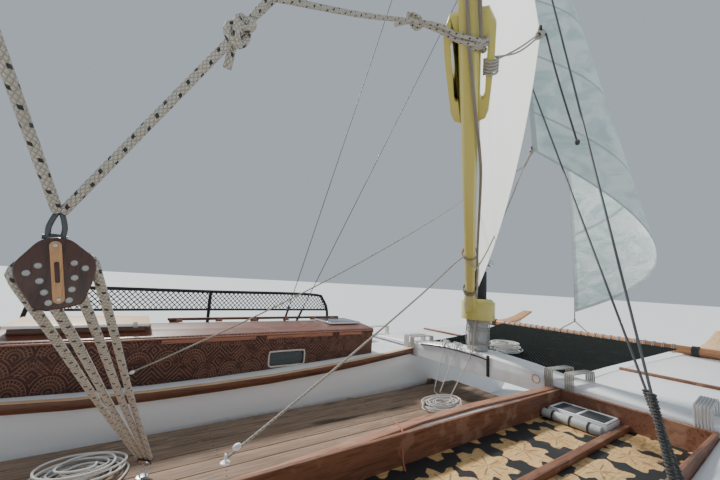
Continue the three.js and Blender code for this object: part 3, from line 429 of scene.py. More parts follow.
@dataclass(frozen=True)
class RopeFinish:
    """Rope, from the tube's own map: around once, and along in diameters."""

    name: str
    light: Colour
    dark: Colour
    lay: Lay = Lay.BRAIDED

    def make(self) -> bpy.types.Material:
        """Returns the material."""
        graph = Graph(self.name)
        around, along, _ = graph.axes(graph.node("UVMap", {"uv_map": "UVMap"}))
        right = abs((around * 6.0 + along * 1.5) % 1.0 - 0.5) * 2.0
        left = abs((around * 6.0 - along * 1.5) % 1.0 - 0.5) * 2.0
        if self.lay is Lay.TWISTED:
            height = abs((around * 3.0 + along * 1.1) % 1.0 - 0.5) * 2.0
        else:
            height = (1.0 - right) * (1.0 - left) * 1.6 + 0.2 * right * left
        hair = graph.noise(graph.place(), 420.0, 2)
        # Painted shade: the grooves between the strands take the dark colour, the raised strands the light
        # one.
        body = graph.mix(graph.step(height, 0.05, 0.6), self.dark, self.light)
        grime = graph.step(graph.noise(graph.place(), 5.0, 6), 0.5, 0.75)
        colour = graph.mix(grime * 0.35, body, self.dark)
        if self.lay is Lay.FLECKED:
            turn = (around * 3.0 + (along * 0.62 // 1.0) * 0.37) % 1.0
            run = (along * 0.62) % 1.0
            fleck = (abs(turn - 0.5) < 0.2) * (abs(run - 0.5 + (turn - 0.5) * 0.25) < 0.13)
            colour = graph.mix(fleck * 0.95, colour, (0.01, 0.012, 0.02))
        return graph.surface(colour, 0.85, height * 0.8 + hair * 0.2, 0.0018, sheen_weight=0.25)


@dataclass(frozen=True)
class Sailcloth:
    """Woven sailcloth with broad seams across it, from the sail's own map."""

    name: str
    light: Colour
    shade: Colour
    panels: float

    def make(self) -> bpy.types.Material:
        """Returns the material."""
        graph = Graph(self.name)
        u, v, _ = graph.axes(graph.node("UVMap", {"uv_map": "UVMap"}))
        course = (v * self.panels + u * 0.35) % 1.0
        seam = abs(course - 0.5) > 0.482
        edge = (abs(u - 0.5) > 0.482) + (abs(v - 0.5) > 0.494)
        crease = graph.noise(graph.place((1, 1, 1.6)), 2.6, 7, 1.5)
        fine = graph.noise(graph.place(), 18.0, 5, 0.8)
        # Painted shade: the folds of the crease noise take the shade colour.
        tone = graph.mix(graph.step(crease, 0.35, 0.7), self.light, self.shade)
        colour = graph.mix(graph.step(seam + edge, 0.3, 0.9) * 0.6, tone, (0.3, 0.36, 0.36))
        weave = graph.noise(graph.place((1, 1, 1)), 900.0, 1)
        return graph.surface(colour, 0.6 + fine * 0.15,
                             crease * 0.8 + fine * 0.16 + weave * 0.04 + seam * 0.05,
                             0.02, subsurface_weight=0.2, subsurface_radius=(0.02, 0.02, 0.02))


@dataclass(frozen=True)
class Metal:
    """Bare or plated metal with fine brushing and dull patches."""

    name: str
    colour: Colour
    roughness: float = 0.3
    metallic: float = 1.0

    def make(self) -> bpy.types.Material:
        """Returns the material."""
        graph = Graph(self.name)
        brushed = graph.noise(graph.place((40, 40, 1.5)), 12.0, 4)
        dull = graph.noise(graph.place(), 4.0, 6)
        colour = graph.mix(graph.step(dull, 0.45, 0.7) * 0.4, self.colour,
                           tuple(part * 0.55 for part in self.colour))
        return graph.surface(colour, self.roughness + dull * 0.25, brushed, 0.0004, metallic=self.metallic)


@dataclass(frozen=True)
class Dark:
    """Black rubber, tape, tarred net or dull plastic."""

    name: str
    colour: Colour
    roughness: float = 0.7
    grit: float = 120.0

    def make(self) -> bpy.types.Material:
        """Returns the material."""
        graph = Graph(self.name)
        grain = graph.noise(graph.place(), self.grit, 4)
        salt = graph.step(graph.noise(graph.place(), 7.0, 8), 0.56, 0.72)
        colour = graph.mix(salt * 0.3, self.colour, tuple(part * 2.5 + 0.05 for part in self.colour))
        return graph.surface(colour, self.roughness + grain * 0.15, grain, 0.0008)


@dataclass(frozen=True)
class Pane:
    """Dark clear pane."""

    name: str

    def make(self) -> bpy.types.Material:
        """Returns the material."""
        graph = Graph(self.name)
        smear = graph.noise(graph.place(), 9.0, 5)
        colour = graph.mix(smear * 0.3, (0.02, 0.028, 0.03), (0.06, 0.07, 0.07))
        return graph.surface(colour, 0.05 + smear * 0.12, specular_ior_level=0.6)


@dataclass(frozen=True)
class Cells:
    """Dark blue cells under a clear cover, with thin pale lines between them."""

    name: str
    pitch: float = 0.096

    def make(self) -> bpy.types.Material:
        """Returns the material."""
        graph = Graph(self.name)
        x, y, _ = graph.axes(graph.place())
        line = (abs((x / self.pitch) % 1.0 - 0.5) > 0.47) + (abs((y / self.pitch) % 1.0 - 0.5) > 0.47)
        hair = abs((y / self.pitch * 12.0) % 1.0 - 0.5) > 0.46
        tone = graph.noise(graph.place(), 30.0, 3)
        cell = graph.mix(tone, (0.012, 0.018, 0.05), (0.03, 0.04, 0.1))
        colour = graph.mix(line * 0.6 + hair * 0.15, cell, (0.4, 0.42, 0.46))
        return graph.surface(colour, 0.12 + tone * 0.1, coat_weight=0.8, coat_roughness=0.05)


class Look(Enum):
    """Every finish on the boat."""

    HULL = Paint("hull_paint", (0.82, 0.84, 0.88), (0.5, 0.5, 0.52))
    BEAM = Paint("beam_paint", (0.86, 0.86, 0.88), (0.55, 0.53, 0.5), 0.35)
    # RAIL_TOP and BOARD_TOP are paler copies of RAIL and SIDE_BOARD, painted light on the rails' top faces.
    RAIL = Timber("rail_varnish", (0.05, 0.018, 0.008), (0.17, 0.062, 0.028), (1.2, 14, 14), 0.3, 0.4)
    RAIL_TOP = Timber("rail_top", (0.46, 0.26, 0.13), (0.74, 0.5, 0.3), (1.2, 14, 14), 0.45, 0.15)
    SIDE_BOARD = Timber("side_board", (0.11, 0.04, 0.022), (0.25, 0.11, 0.06), (1.4, 16, 16), 0.5, 0.1,
                        (0.5, 0.32, 0.22))
    BOARD_TOP = Timber("board_top", (0.19, 0.08, 0.045), (0.4, 0.2, 0.12), (1.4, 15, 15), 0.45, 0.15,
                       (0.5, 0.33, 0.22))
    TAN = Timber("tan_board", (0.52, 0.3, 0.14), (0.78, 0.53, 0.3), (1.5, 12, 12), 0.45, 0.2)
    PROW = Timber("prow_timber", (0.32, 0.14, 0.05), (0.6, 0.33, 0.15), (1.5, 14, 14), 0.45, 0.15)
    PROW_BAND = Timber("prow_band", (0.045, 0.02, 0.012), (0.12, 0.05, 0.03), (1.5, 14, 14), 0.4, 0.2)
    SPAR = Timber("spar_timber", (0.34, 0.12, 0.045), (0.58, 0.27, 0.12), (14, 1.0, 14), 0.45, 0.2)
    CABIN_ROOF = Timber("roof_varnish", (0.085, 0.024, 0.012), (0.22, 0.075, 0.04), (1.2, 12, 12), 0.32, 0.4,
                        (0.3, 0.14, 0.09))
    STRIP = Timber("strip_timber", (0.22, 0.075, 0.04), (0.42, 0.18, 0.11), (1.2, 18, 18), 0.4, 0.2)
    CABIN_SIDE = CarvedPly("carved_ply")
    BLOCK_CHEEK = Timber("cheek_timber", (0.025, 0.009, 0.006), (0.085, 0.03, 0.018), (14, 14, 2), 0.35, 0.35)
    BLOCK_STRAP = Timber("strap_timber", (0.42, 0.2, 0.08), (0.66, 0.36, 0.16), (18, 18, 2.5), 0.4, 0.2)
    PLANKS = Planking("bare_planks", 0.1288, 0.64)
    LEAVES = LeafPly("leaf_ply")
    BLACK = Dark("black_rubber", (0.012, 0.012, 0.014), 0.55)
    NET = Dark("tarred_net", (0.012, 0.018, 0.016), 0.8, 300.0)
    MESH = Dark("grey_mesh", (0.06, 0.065, 0.07), 0.8, 500.0)
    BOOM = Paint("boom_paint", (0.62, 0.46, 0.012), (0.3, 0.2, 0.01), 0.42, 0.5)
    ALLOY = Metal("alloy", (0.72, 0.73, 0.75), 0.28)
    POST = Metal("dull_alloy", (0.5, 0.5, 0.49), 0.5, 0.7)
    STEEL = Metal("steel", (0.5, 0.51, 0.52), 0.22)
    WIRE = Metal("wire", (0.16, 0.165, 0.17), 0.4)
    SAIL = Sailcloth("sailcloth", (0.86, 0.88, 0.86), (0.58, 0.68, 0.7), 7.0)
    # Painted shade: the jib's light and shade colours are both tinted blue-green for the shade on its cloth.
    JIB = Sailcloth("jib_cloth", (0.78, 0.86, 0.85), (0.52, 0.66, 0.66), 6.0)
    ROLL = Sailcloth("rolled_cloth", (0.85, 0.85, 0.84), (0.7, 0.7, 0.72), 3.0)
    ROPE = RopeFinish("rope_braided", (0.62, 0.6, 0.54), (0.3, 0.285, 0.25))
    SHEET_ROPE = RopeFinish("rope_flecked", (0.6, 0.565, 0.49), (0.3, 0.27, 0.22), Lay.FLECKED)
    WHITE_ROPE = RopeFinish("rope_white", (0.78, 0.77, 0.74), (0.42, 0.41, 0.4), Lay.TWISTED)
    DARK_ROPE = RopeFinish("rope_dark", (0.07, 0.07, 0.065), (0.015, 0.015, 0.015))
    # Painted shade: a darker copy of the braided rope, for the line under the boom.
    SHADE_ROPE = RopeFinish("rope_painted_shade", (0.4, 0.35, 0.27), (0.12, 0.1, 0.075))
    ORANGE_CORD = RopeFinish("cord_orange", (0.75, 0.24, 0.1), (0.4, 0.09, 0.04))
    FRAME = Paint("frame_plastic", (0.56, 0.52, 0.46), (0.4, 0.36, 0.32), 0.5)
    PANE = Pane("pane")
    CELLS = Cells("cells")

    def material(self) -> bpy.types.Material:
        """Returns the finish's material, made the first time."""
        return bpy.data.materials.get(self.value.name) or self.value.make()


# The modelling bench

def activate(piece: Piece) -> None:
    """Deselects everything, then selects one piece and makes it active.

    Args:
        piece: The piece to work on.
    """
    bpy.ops.object.select_all(action="DESELECT")
    piece.select_set(True)
    bpy.context.view_layer.objects.active = piece


@contextlib.contextmanager
def editing(piece: Piece, mode: str = "FACE") -> Iterator[bmesh.types.BMesh]:
    """Opens a piece in edit mode with nothing selected, and closes it again.

    Args:
        piece: The mesh piece.
        mode: What is selected: VERT, EDGE or FACE.

    Yields:
        The piece's edit mesh.
    """
    activate(piece)
    bpy.ops.object.mode_set(mode="EDIT")
    bpy.ops.mesh.select_mode(type=mode)
    bpy.ops.mesh.select_all(action="DESELECT")
    yield bmesh.from_edit_mesh(piece.data)
    bpy.ops.object.mode_set(mode="OBJECT")


def added(kind: str, **settings: object) -> Piece:
    """Adds one mesh primitive with nothing else selected.

    Args:
        kind: The primitive's name in its operator.
        settings: The operator's settings.

    Returns:
        The new piece.
    """
    bpy.ops.object.select_all(action="DESELECT")
    getattr(bpy.ops.mesh, f"primitive_{kind}_add")(**settings)
    return bpy.context.object


def settle(piece: Piece, name: str) -> Piece:
    """Names a new piece and moves its place into its mesh.

    Args:
        piece: The new piece.
        name: Its name.

    Returns:
        The same piece.
    """
    piece.name = name
    piece.data.name = name
    activate(piece)
    bpy.ops.object.transform_apply(location=True, rotation=True, scale=True)
    return piece


def modify(piece: Piece, kind: str, **settings: object) -> Piece:
    """Adds a modifier and applies it.

    Args:
        piece: The piece.
        kind: The modifier's type.
        settings: Its settings.

    Returns:
        The same piece.
    """
    activate(piece)
    modifier = piece.modifiers.new(kind.title(), kind)
    for key, setting in settings.items():
        setattr(modifier, key, setting)
    bpy.ops.object.modifier_apply(modifier=modifier.name)
    return piece


def smooth(piece: Piece, angle: float = 35.0) -> Piece:
    """Shades a piece smooth, with its sharp edges kept.

    Args:
        piece: The piece.
        angle: Edges over this many degrees stay sharp.

    Returns:
        The same piece.
    """
    activate(piece)
    bpy.ops.object.shade_smooth_by_angle(angle=math.radians(angle))
    return piece


def soften(piece: Piece, width: float, segments: int = 2, angle: float = 35.0) -> Piece:
    """Rounds a piece's sharp edges and shades it.

    Args:
        piece: The piece.
        width: The round's width.
        segments: Faces across the round.
        angle: Edges over this many degrees are rounded.

    Returns:
        The same piece.
    """
    modify(piece, "BEVEL", width=width, segments=segments, limit_method="ANGLE",
           angle_limit=math.radians(angle), use_clamp_overlap=True)
    return smooth(piece, angle)


def round_bar(name: str, start: Sequence[float], end: Sequence[float], radius: float,
              sides: int = 20) -> Piece:
    """Makes a cylinder between two points, ready to shape.

    Args:
        name: Its name.
        start: Middle of one end.
        end: Middle of the other.
        radius: Its radius.
        sides: Its sides.

    Returns:
        The cylinder.
    """
    start, end = Vector(start), Vector(end)
    turn = (end - start).to_track_quat("Z", "Y").to_euler()
    return settle(added("cylinder", vertices=sides, radius=radius, depth=(end - start).length,
                        location=(start + end) / 2, rotation=turn), name)


def ring(name: str, middle: Sequence[float], axis: Sequence[float], radius: float, thick: float,
         sides: int = 24) -> Piece:
    """Makes a round ring.

    Args:
        name: Its name.
        middle: Its middle.
        axis: The way its hole looks.
        radius: From its middle to the middle of its section.
        thick: Its section's radius.
        sides: Steps around it.

    Returns:
        The ring.
    """
    turn = Vector(axis).to_track_quat("Z", "Y").to_euler()
    piece = added("torus", location=middle, rotation=turn, major_segments=sides, minor_segments=8,
                  major_radius=radius, minor_radius=thick)
    return smooth(settle(piece, name), 60)


def fine_copy(node: str, name: str, width: float = 0.0, segments: int = 2, angle: float = 35.0) -> Piece:
    """Copies a frame node's mesh, merges it, and rounds its edges.

    Args:
        node: The node.
        name: The copy's name.
        width: The round's width, or 0 for none.
        segments: Faces across the round.
        angle: Edges over this many degrees are rounded.

    Returns:
        The copy.
    """
    piece = bpy.data.objects.new(name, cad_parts[node].data.copy())
    bpy.context.scene.collection.objects.link(piece)
    piece.data.materials.clear()
    with editing(piece, "VERT"):
        bpy.ops.mesh.select_all(action="SELECT")
        bpy.ops.mesh.remove_doubles(threshold=2e-5)
        bpy.ops.mesh.dissolve_limited(angle_limit=math.radians(0.6))
    return soften(piece, width, segments, angle) if width else smooth(piece, angle)


def joined(name: str, *pieces: Piece) -> Piece:
    """Joins pieces into one.

    Args:
        name: Its name.
        pieces: The pieces, the first of which stays.

    Returns:
        The joined piece.
    """
    activate(pieces[0])
    for piece in pieces[1:]:
        piece.select_set(True)
    bpy.ops.object.join()
    return settle(pieces[0], name)


def paint_faces(piece: Piece, look: Look, test: Test) -> None:
    """Gives some of a piece's faces a finish of their own.

    Args:
        piece: The piece, whose first material is set already.
        look: The finish.
        test: Says whether a face with this middle and normal is wanted.
    """
    piece.data.materials.append(look.material())
    index = len(piece.data.materials) - 1
    for face in piece.data.polygons:
        if test(face.center, face.normal):
            face.material_index = index


def smooth_path(points: Sequence[Sequence[float]], spacing: float, closed: bool = False) -> list[Vector]:
    """Draws one smooth line through points and steps evenly along it.

    Args:
        points: The points.
        spacing: The step.
        closed: Whether the line ends where it starts.

    Returns:
        The stepped points.
    """
    knots = [Vector(point) for point in points]
    count = len(knots)
    dense: list[Vector] = []
    for i in range(count if closed else count - 1):
        if closed:
            a, b, c, d = (knots[(i + k) % count] for k in (-1, 0, 1, 2))
        else:
            b, c = knots[i], knots[i + 1]
            a = knots[i - 1] if i else 2 * b - c
            d = knots[i + 2] if i + 2 < count else 2 * c - b
        steps = max(4, int((c - b).length / spacing * 3))
        for k in range(steps):
            t = k / steps
            dense.append(0.5 * (2 * b + (c - a) * t + (2 * a - 5 * b + 4 * c - d) * t * t
                                + (3 * b - a - 3 * c + d) * t ** 3))
    dense.append(knots[0] if closed else knots[-1])
    total = sum((q - p).length for p, q in zip(dense, dense[1:]))
    steps = max(2, round(total / spacing))
    even, walked, goal = [dense[0]], 0.0, total / steps
    for p, q in zip(dense, dense[1:]):
        length = (q - p).length
        while length and walked + length >= goal - 1e-9 and len(even) < steps:
            even.append(p.lerp(q, (goal - walked) / length))
            goal += total / steps
        walked += length
    return even + [dense[-1]]


def rope(name: str, points: Sequence[Sequence[float]], radius: float, step: float = 0.0,
         sides: int = 8) -> Piece:
    """Makes a rope along a smooth line, mapped around once and along in diameters.

    Args:
        name: Its name.
        points: Points that it passes.
        radius: Its radius.
        step: Length of one ring, or 0 for three radii.
        sides: Its sides, an even number.

    Returns:
        The rope.
    """
    path = smooth_path(points, step or 3 * radius)
    length = sum((q - p).length for p, q in zip(path, path[1:]))
    bpy.ops.object.select_all(action="DESELECT")
    bpy.ops.curve.primitive_nurbs_path_add(location=(0, 0, 0))
    piece = bpy.context.object
    line = piece.data
    line.splines.clear()
    spline = line.splines.new("POLY")
    spline.points.add(len(path) - 1)
    for knot, place in zip(spline.points, path):
        knot.co = (*place, 1.0)
    line.bevel_depth = radius
    line.bevel_resolution = sides // 2 - 2
    line.use_fill_caps = True
    bpy.ops.object.convert(target="MESH")
    piece = settle(bpy.context.object, name)
    for loop in piece.data.uv_layers["UVMap"].data:
        along, around = loop.uv
        loop.uv = (around, along * length / (2 * radius))
    with editing(piece, "VERT"):
        bpy.ops.mesh.select_all(action="SELECT")
        bpy.ops.mesh.remove_doubles(threshold=1e-6)
        bpy.ops.mesh.normals_make_consistent(inside=False)
    return smooth(piece, 60)


def coil_points(start: Sequence[float], end: Sequence[float], radius: float, turns: float,
                flat: float = 1.0, per_turn: int = 12) -> list[Vector]:
    """Steps along a helix round the line between two points.

    Args:
        start: Where its axis starts.
        end: Where its axis ends.
        radius: The helix's radius.
        turns: How often it goes round.
        flat: Its height as a share of its width.
        per_turn: Steps in one turn.

    Returns:
        The steps.
    """
    start, end = Vector(start), Vector(end)
    axis = (end - start).normalized()
    side = axis.cross(Vector((0, 0, 1)) if abs(axis.z) < 0.9 else Vector((1, 0, 0))).normalized()
    up = side.cross(axis)
    count = int(turns * per_turn)
    return [start.lerp(end, i / count) + side * radius * math.cos(2 * math.pi * i / per_turn)
            + up * radius * flat * math.sin(2 * math.pi * i / per_turn) for i in range(count + 1)]


def deliver(piece: Piece, look: Look, slot: str, body: str = "root", replaces: Sequence[str] = ()) -> Piece:
    """Dresses a finished piece and sets it on its body.

    Args:
        piece: The finished piece.
        look: Its finish.
        slot: Not used.
        body: The body that it moves with.
        replaces: The nodes that it stands for.

    Returns:
        The same piece.
    """
    if not piece.data.materials:
        piece.data.materials.append(look.material())
    if replaces:
        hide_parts(*replaces)
    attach(piece, body)
    LOG.info("%s on %s, %d faces", piece.name, body, len(piece.data.polygons))
    return piece


def deliver_blend(piece: Piece, look: Look, first: str, second: str, start: Point,
                  end: Point) -> Piece:
    """Dresses a finished rope or cloth that crosses a joint and bakes its place into its mesh, on no body.

    Args:
        piece: The finished piece.
        look: Its finish.
        first: The body on the side of its start; only logged.
        second: The body on the side of its end; only logged.
        start: Not used.
        end: Not used.

    Returns:
        The same piece.
    """
    piece.data.materials.append(look.material())
    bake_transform(piece)
    LOG.info("%s from %s to %s, %d faces", piece.name, first, second, len(piece.data.polygons))
    return piece


def deliver_copy(node: str, name: str, width: float, look: Look, slot: str, segments: int = 2,
                 body: str = "root") -> Piece:
    """Copies a node, rounds its edges, dresses the copy and sets it on its body in the node's stead.

    Args:
        node: The node.
        name: The copy's name.
        width: The round's width.
        look: Its finish.
        slot: Not used.
        segments: Faces across the round.
        body: The body that it moves with.

    Returns:
        The copy.
    """
    return deliver(fine_copy(node, name, width, segments), look, slot, body, [node])


@functools.cache
def surface_of(node: str) -> BVHTree:
    """Returns a node's surface, ready for rays.

    Args:
        node: The node.
    """
    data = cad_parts[node].data
    return BVHTree.FromPolygons([v.co for v in data.vertices],
                                [tuple(face.vertices) for face in data.polygons])


def height_over(node: str, x: float, y: float) -> float:
    """Returns how high a node's top is at a place, or 0 off it.

    Args:
        node: The node.
        x: Place along the boat.
        y: Place across the boat.
    """
    place = surface_of(node).ray_cast(Vector((x, y, 5.0)), Vector((0, 0, -1)))[0]
    return place.z if place else 0.0


def middle_of(node: str, low: Sequence[float], high: Sequence[float]) -> Vector:
    """Returns the middle of a node's corners that lie in a box.

    Args:
        node: The node.
        low: The box's lowest corner.
        high: The box's highest corner.
    """
    inside = [v.co
              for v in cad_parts[node].data.vertices
              if all(a <= c <= b for a, c, b in zip(low, v.co, high))]
    return sum(inside, Vector()) / len(inside)


def plate(name: str, outline: Sequence[Sequence[float]], through: Sequence[float],
          turn: Matrix | None = None) -> Piece:
    """Cuts a board from an outline, ready to shape.

    Args:
        name: Its name.
        outline: The corners of one face, as points in space.
        through: From that face to the other.
        turn: Where the finished board goes, from where it was drawn.

    Returns:
        The board.
    """
    piece = added("circle", vertices=len(outline), fill_type="NGON", location=(0, 0, 0))
    for vertex, place in zip(piece.data.vertices, outline):
        vertex.co = place
    with editing(piece):
        bpy.ops.mesh.select_all(action="SELECT")
        bpy.ops.mesh.extrude_region_move(TRANSFORM_OT_translate={"value": through})
        bpy.ops.mesh.select_all(action="SELECT")
        bpy.ops.mesh.normals_make_consistent(inside=False)
    if turn is not None:
        piece.data.transform(turn)
    return settle(piece, name)


def turned(name: str, profile: Sequence[tuple[float, float]], middle: Sequence[float], axis: Sequence[float],
           sides: int = 28) -> Piece:
    """Turns a round piece on its axis from one closed section.

    Args:
        name: Its name.
        profile: The section's corners, as distance from the axis and place along it.
        middle: Where the axis's zero lies.
        axis: Its axis.
        sides: Steps around it.

    Returns:
        The piece.
    """
    piece = added("circle", vertices=len(profile), fill_type="NOTHING", location=(0, 0, 0))
    for vertex, (reach, height) in zip(piece.data.vertices, profile):
        vertex.co = (reach, 0.0, height)
    modify(piece, "SCREW", steps=sides, render_steps=sides, angle=2 * math.pi, axis="Z",
           use_merge_vertices=True,
           merge_threshold=1e-5)
    with editing(piece, "VERT"):
        bpy.ops.mesh.select_all(action="SELECT")
        bpy.ops.mesh.normals_make_consistent(inside=False)
    piece.data.transform(Matrix.Translation(middle) @ Vector(axis).to_track_quat("Z",
                                                                                 "Y").to_matrix().to_4x4())
    return smooth(settle(piece, name), 40)


def repeated(piece: Piece, places: Sequence[Matrix]) -> Piece:
    """Copies a piece to several places and joins the copies.

    Args:
        piece: The piece, drawn at the origin.
        places: Where each copy goes.

    Returns:
        The joined copies, under the piece's name.
    """
    copies = []
    for place in places[1:]:
        copy = bpy.data.objects.new(piece.name, piece.data.copy())
        bpy.context.scene.collection.objects.link(copy)
        copy.data.transform(place)
        copies.append(copy)
    piece.data.transform(places[0])
    return joined(piece.name, piece, *copies)


def carve(piece: Piece, *cutters: Piece) -> Piece:
    """Cuts pieces away from another and deletes them.

    Args:
        piece: The piece that is cut.
        cutters: What is cut away.

    Returns:
        The cut piece.
    """
    for cutter in cutters:
        modify(piece, "BOOLEAN", operation="DIFFERENCE", object=cutter, solver="EXACT")
        bpy.data.objects.remove(cutter)
    return piece


def strip(name: str, ends: Sequence[Sequence[float]], width: float, thick: float,
          round_over: float = 0.003) -> Piece:
    """Planes a straight batten with rounded edges.

    Args:
        name: Its name.
        ends: The middles of its two ends.
        width: Its width, level and across it.
        thick: Its thickness, upwards.
        round_over: The edges' round.

    Returns:
        The batten.
    """
    start, end = (Vector(end) for end in ends)
    along = (end - start).normalized()
    across = along.cross(Vector((0, 0, 1))).normalized() * width / 2
    lift = across.cross(along).normalized() * thick
    corners = [start - across - lift / 2, start + across - lift / 2, end + across - lift / 2,
               end - across - lift / 2]
    return soften(plate(name, corners, lift), round_over)


def lashing(name: str, middle: Sequence[float], axis: Sequence[float], size: tuple[float, float],
            turns: float,
            width: float, radius: float = 0.006) -> Piece:
    """Winds cord round something.

    Args:
        name: Its name.
        middle: The middle of the turns.
        axis: The way that they go.
        size: Their reach from the middle, across and up.
        turns: Their number.
        width: Their length along the axis.
        radius: The cord's radius.

    Returns:
        The lashing.
    """
    middle, axis = Vector(middle), Vector(axis).normalized()
    points = coil_points(middle - axis * width / 2, middle + axis * width / 2, size[0], turns,
                         size[1] / size[0])
    return rope(name, points, radius, 2.2 * radius, 6)


def diamond_net(name: str, across: int, along: int, place: Callable[[float, float], Vector],
                cord: float) -> Piece:
    """Knots a diamond net over a surface.

    Args:
        name: Its name.
        across: Diamonds across it.
        along: Diamonds along it.
        place: The surface, from two shares between 0 and 1.
        cord: Its cord's thickness.

    Returns:
        The net.
    """
    grid = added("grid", x_subdivisions=across, y_subdivisions=along, size=1.0, location=(0, 0, 0))
    piece = settle(grid, name)
    with editing(piece, "EDGE") as mesh:
        bpy.ops.mesh.select_all(action="SELECT")
        bpy.ops.mesh.poke()
        for edge in mesh.edges:
            run = edge.verts[1].co - edge.verts[0].co
            edge.select_set(min(abs(run.x), abs(run.y)) < 1e-6 and len(edge.link_faces) == 2)
        bpy.ops.mesh.dissolve_edges(use_verts=False)
    for vertex in piece.data.vertices:
        vertex.co = place(vertex.co.x + 0.5, vertex.co.y + 0.5)
    modify(piece, "WIREFRAME", thickness=cord, use_replace=True, use_boundary=True, use_even_offset=False)
    return smooth(piece)


def cloth(name: str, across: int, along: int, place: Callable[[float, float], Vector], thick: float) -> Piece:
    """Lays a piece of cloth over a surface, mapped over its whole width and length.

    Args:
        name: Its name.
        across: Steps across it.
        along: Steps along it.
        place: The surface, from two shares between 0 and 1.
        thick: The cloth's thickness.

    Returns:
        The cloth.
    """
    grid = added("grid", x_subdivisions=across, y_subdivisions=along, size=1.0, location=(0, 0, 0))
    piece = settle(grid, name)
    for vertex in piece.data.vertices:
        vertex.co = place(vertex.co.x + 0.5, vertex.co.y + 0.5)
    modify(piece, "SOLIDIFY", thickness=thick, offset=0.0)
    return smooth(piece, 60)


def wound(name: str, middle: Sequence[float], half: tuple[float, float], turns: int, width: float,
          radius: float,
          slant: float = 0.0) -> Piece:
    """Winds rope round a square beam that lies across the boat.

    Args:
        name: Its name.
        middle: The middle of the turns.
        half: Half the beam's size along the boat and up.
        turns: Their number.
        width: Their length along the beam.
        radius: The rope's radius.
        slant: How far each turn's front is shifted along the beam.

    Returns:
        The turns.
    """
    middle = Vector(middle)
    reach = [half[0] + radius, half[1] + radius]
    corners = []
    for x, z in ((-1, -1), (1, -1), (1, 1), (-1, 1)):
        for cut_x, cut_z in (((0, 0.014), (0.014, 0)) if x * z > 0 else ((0.014, 0), (0, 0.014))):
            corners.append((x * (reach[0] - cut_x), z * (reach[1] - cut_z), x * slant / 2))
    points = []
    for k in range(turns * 8 + 1):
        x, z, shift = corners[k % 8]
        points.append(middle + Vector((x, shift + width * (k / (turns * 8) - 0.5), z)))
    dense = []
    for p, q in zip(points, points[1:]):
        dense += [p, p.lerp(q, 0.5)] if (q - p).length > 0.05 else [p]
    return rope(name, dense + [points[-1]], radius, 0.02, 6)


def loose_layers(middle: Sequence[float], reach: tuple[float, float], radius: float, layers: int, seed: int,
                 stretch: float = 1.0, spin: float = 0.0) -> list[Vector]:
    """Steps along a rope that lies in loose flat layers, wound inwards and outwards by turns.

    Args:
        middle: The heap's middle, at the height of the lowest layer.
        reach: The inner and outer reach of its turns.
        radius: The rope's radius.
        layers: Its layers.
        seed: Starts the random draws.
        stretch: Its length along one way as a share of its width.
        spin: Where the rope comes in, in degrees.

    Returns:
        The steps, from the outside of the lowest layer.
    """
    draw = random.Random(seed)
    x, y, z = middle
    pitch, wave = 4.6 * 2 * radius, 1.55 * radius * 2
    turns = (reach[1] - reach[0]) / pitch
    phases = [[draw.uniform(0, 2 * math.pi) for _ in range(3)] for _ in range(layers)]

    def wobble(layer: int, angle: float) -> float:
        """Returns how far a layer's turns swerve out at an angle."""
        first, second, third = phases[max(0, layer)]
        return wave * (0.5 * math.sin(angle + first) + 0.3 * math.sin(2 * angle + second)
                       + 0.2 * math.sin(3 * angle + third))

    points, angle = [], math.radians(spin)
    count = max(8, int(turns * 16))
    for layer in range(layers):
        for k in range(count + (layer == layers - 1)):
            walked = 2 * math.pi * turns * k / count
            share = k / count
            out = reach[1] - (reach[1] - reach[0]) * (share if layer % 2 == 0 else 1 - share)
            rise = min(1.0, walked / (math.pi / 3)) if layer else 1.0
            blend = min(1.0, max(0.0, walked / (math.pi / 3) - 1.0)) if layer else 1.0
            here = angle + walked
            out += wobble(layer - 1, here) * (1 - blend) + wobble(layer, here) * blend
            lift = (layer - 1 + rise) * 2.1 * radius
            points.append(Vector((x + stretch * out * math.cos(here), y + out * math.sin(here), z + lift)))
        angle += 2 * math.pi * turns
    return points


def lay_cord(name: str, points: Sequence[Vector], radius: float, look: Look) -> Piece:
    """Makes a loose rope's end that lies where it was dropped.

    Args:
        name: Its name.
        points: The points that it passes, from where it leaves the taut line.
        radius: Its radius.
        look: Its finish.

    Returns:
        The rope.
    """
    step = 1.6 * radius
    piece = deliver(rope(name, points, radius, step, 8), look, "rope")
    path = smooth_path(points, step)
    length = sum((q - p).length for p, q in zip(path, path[1:]))
    tuple(path[0])
    [tuple(point) for point in path]
    return piece


# Places that several assemblies share
MAST_X = 1.25
DECK_TOP = 0.5405
MAIN_CLEW = (-0.165, -1.366, 2.96)
JIB_CLEW = (1.76, -0.31, 3.23)


def knotted(knot: Vector, along: Vector, side: Vector, steps: Sequence[Point]) -> list[Vector]:
    """Steps through a knot.

    Args:
        knot: Its middle.
        along: The way that the rope runs.
        side: One way across it.
        steps: Distances along the rope, to that side, and across both.

    Returns:
        The points.
    """
    return [knot + along * dx + side * dy + along.cross(side) * dz for dx, dy, dz in steps]


def clew_ring(name: str, place: Vector, axis: Point, bore: float, rim: float) -> Piece:
    """Turns the ring of a sail's clew.

    Args:
        name: Its name.
        place: Its middle.
        axis: The way its hole looks.
        bore: Its hole's radius.
        rim: Its outer radius.

    Returns:
        The ring.
    """
    edge = rim - 0.004
    return turned(name, [(bore, -0.006), (edge, -0.006), (rim, 0), (edge, 0.006), (bore, 0.006)], place, axis,
                  20)


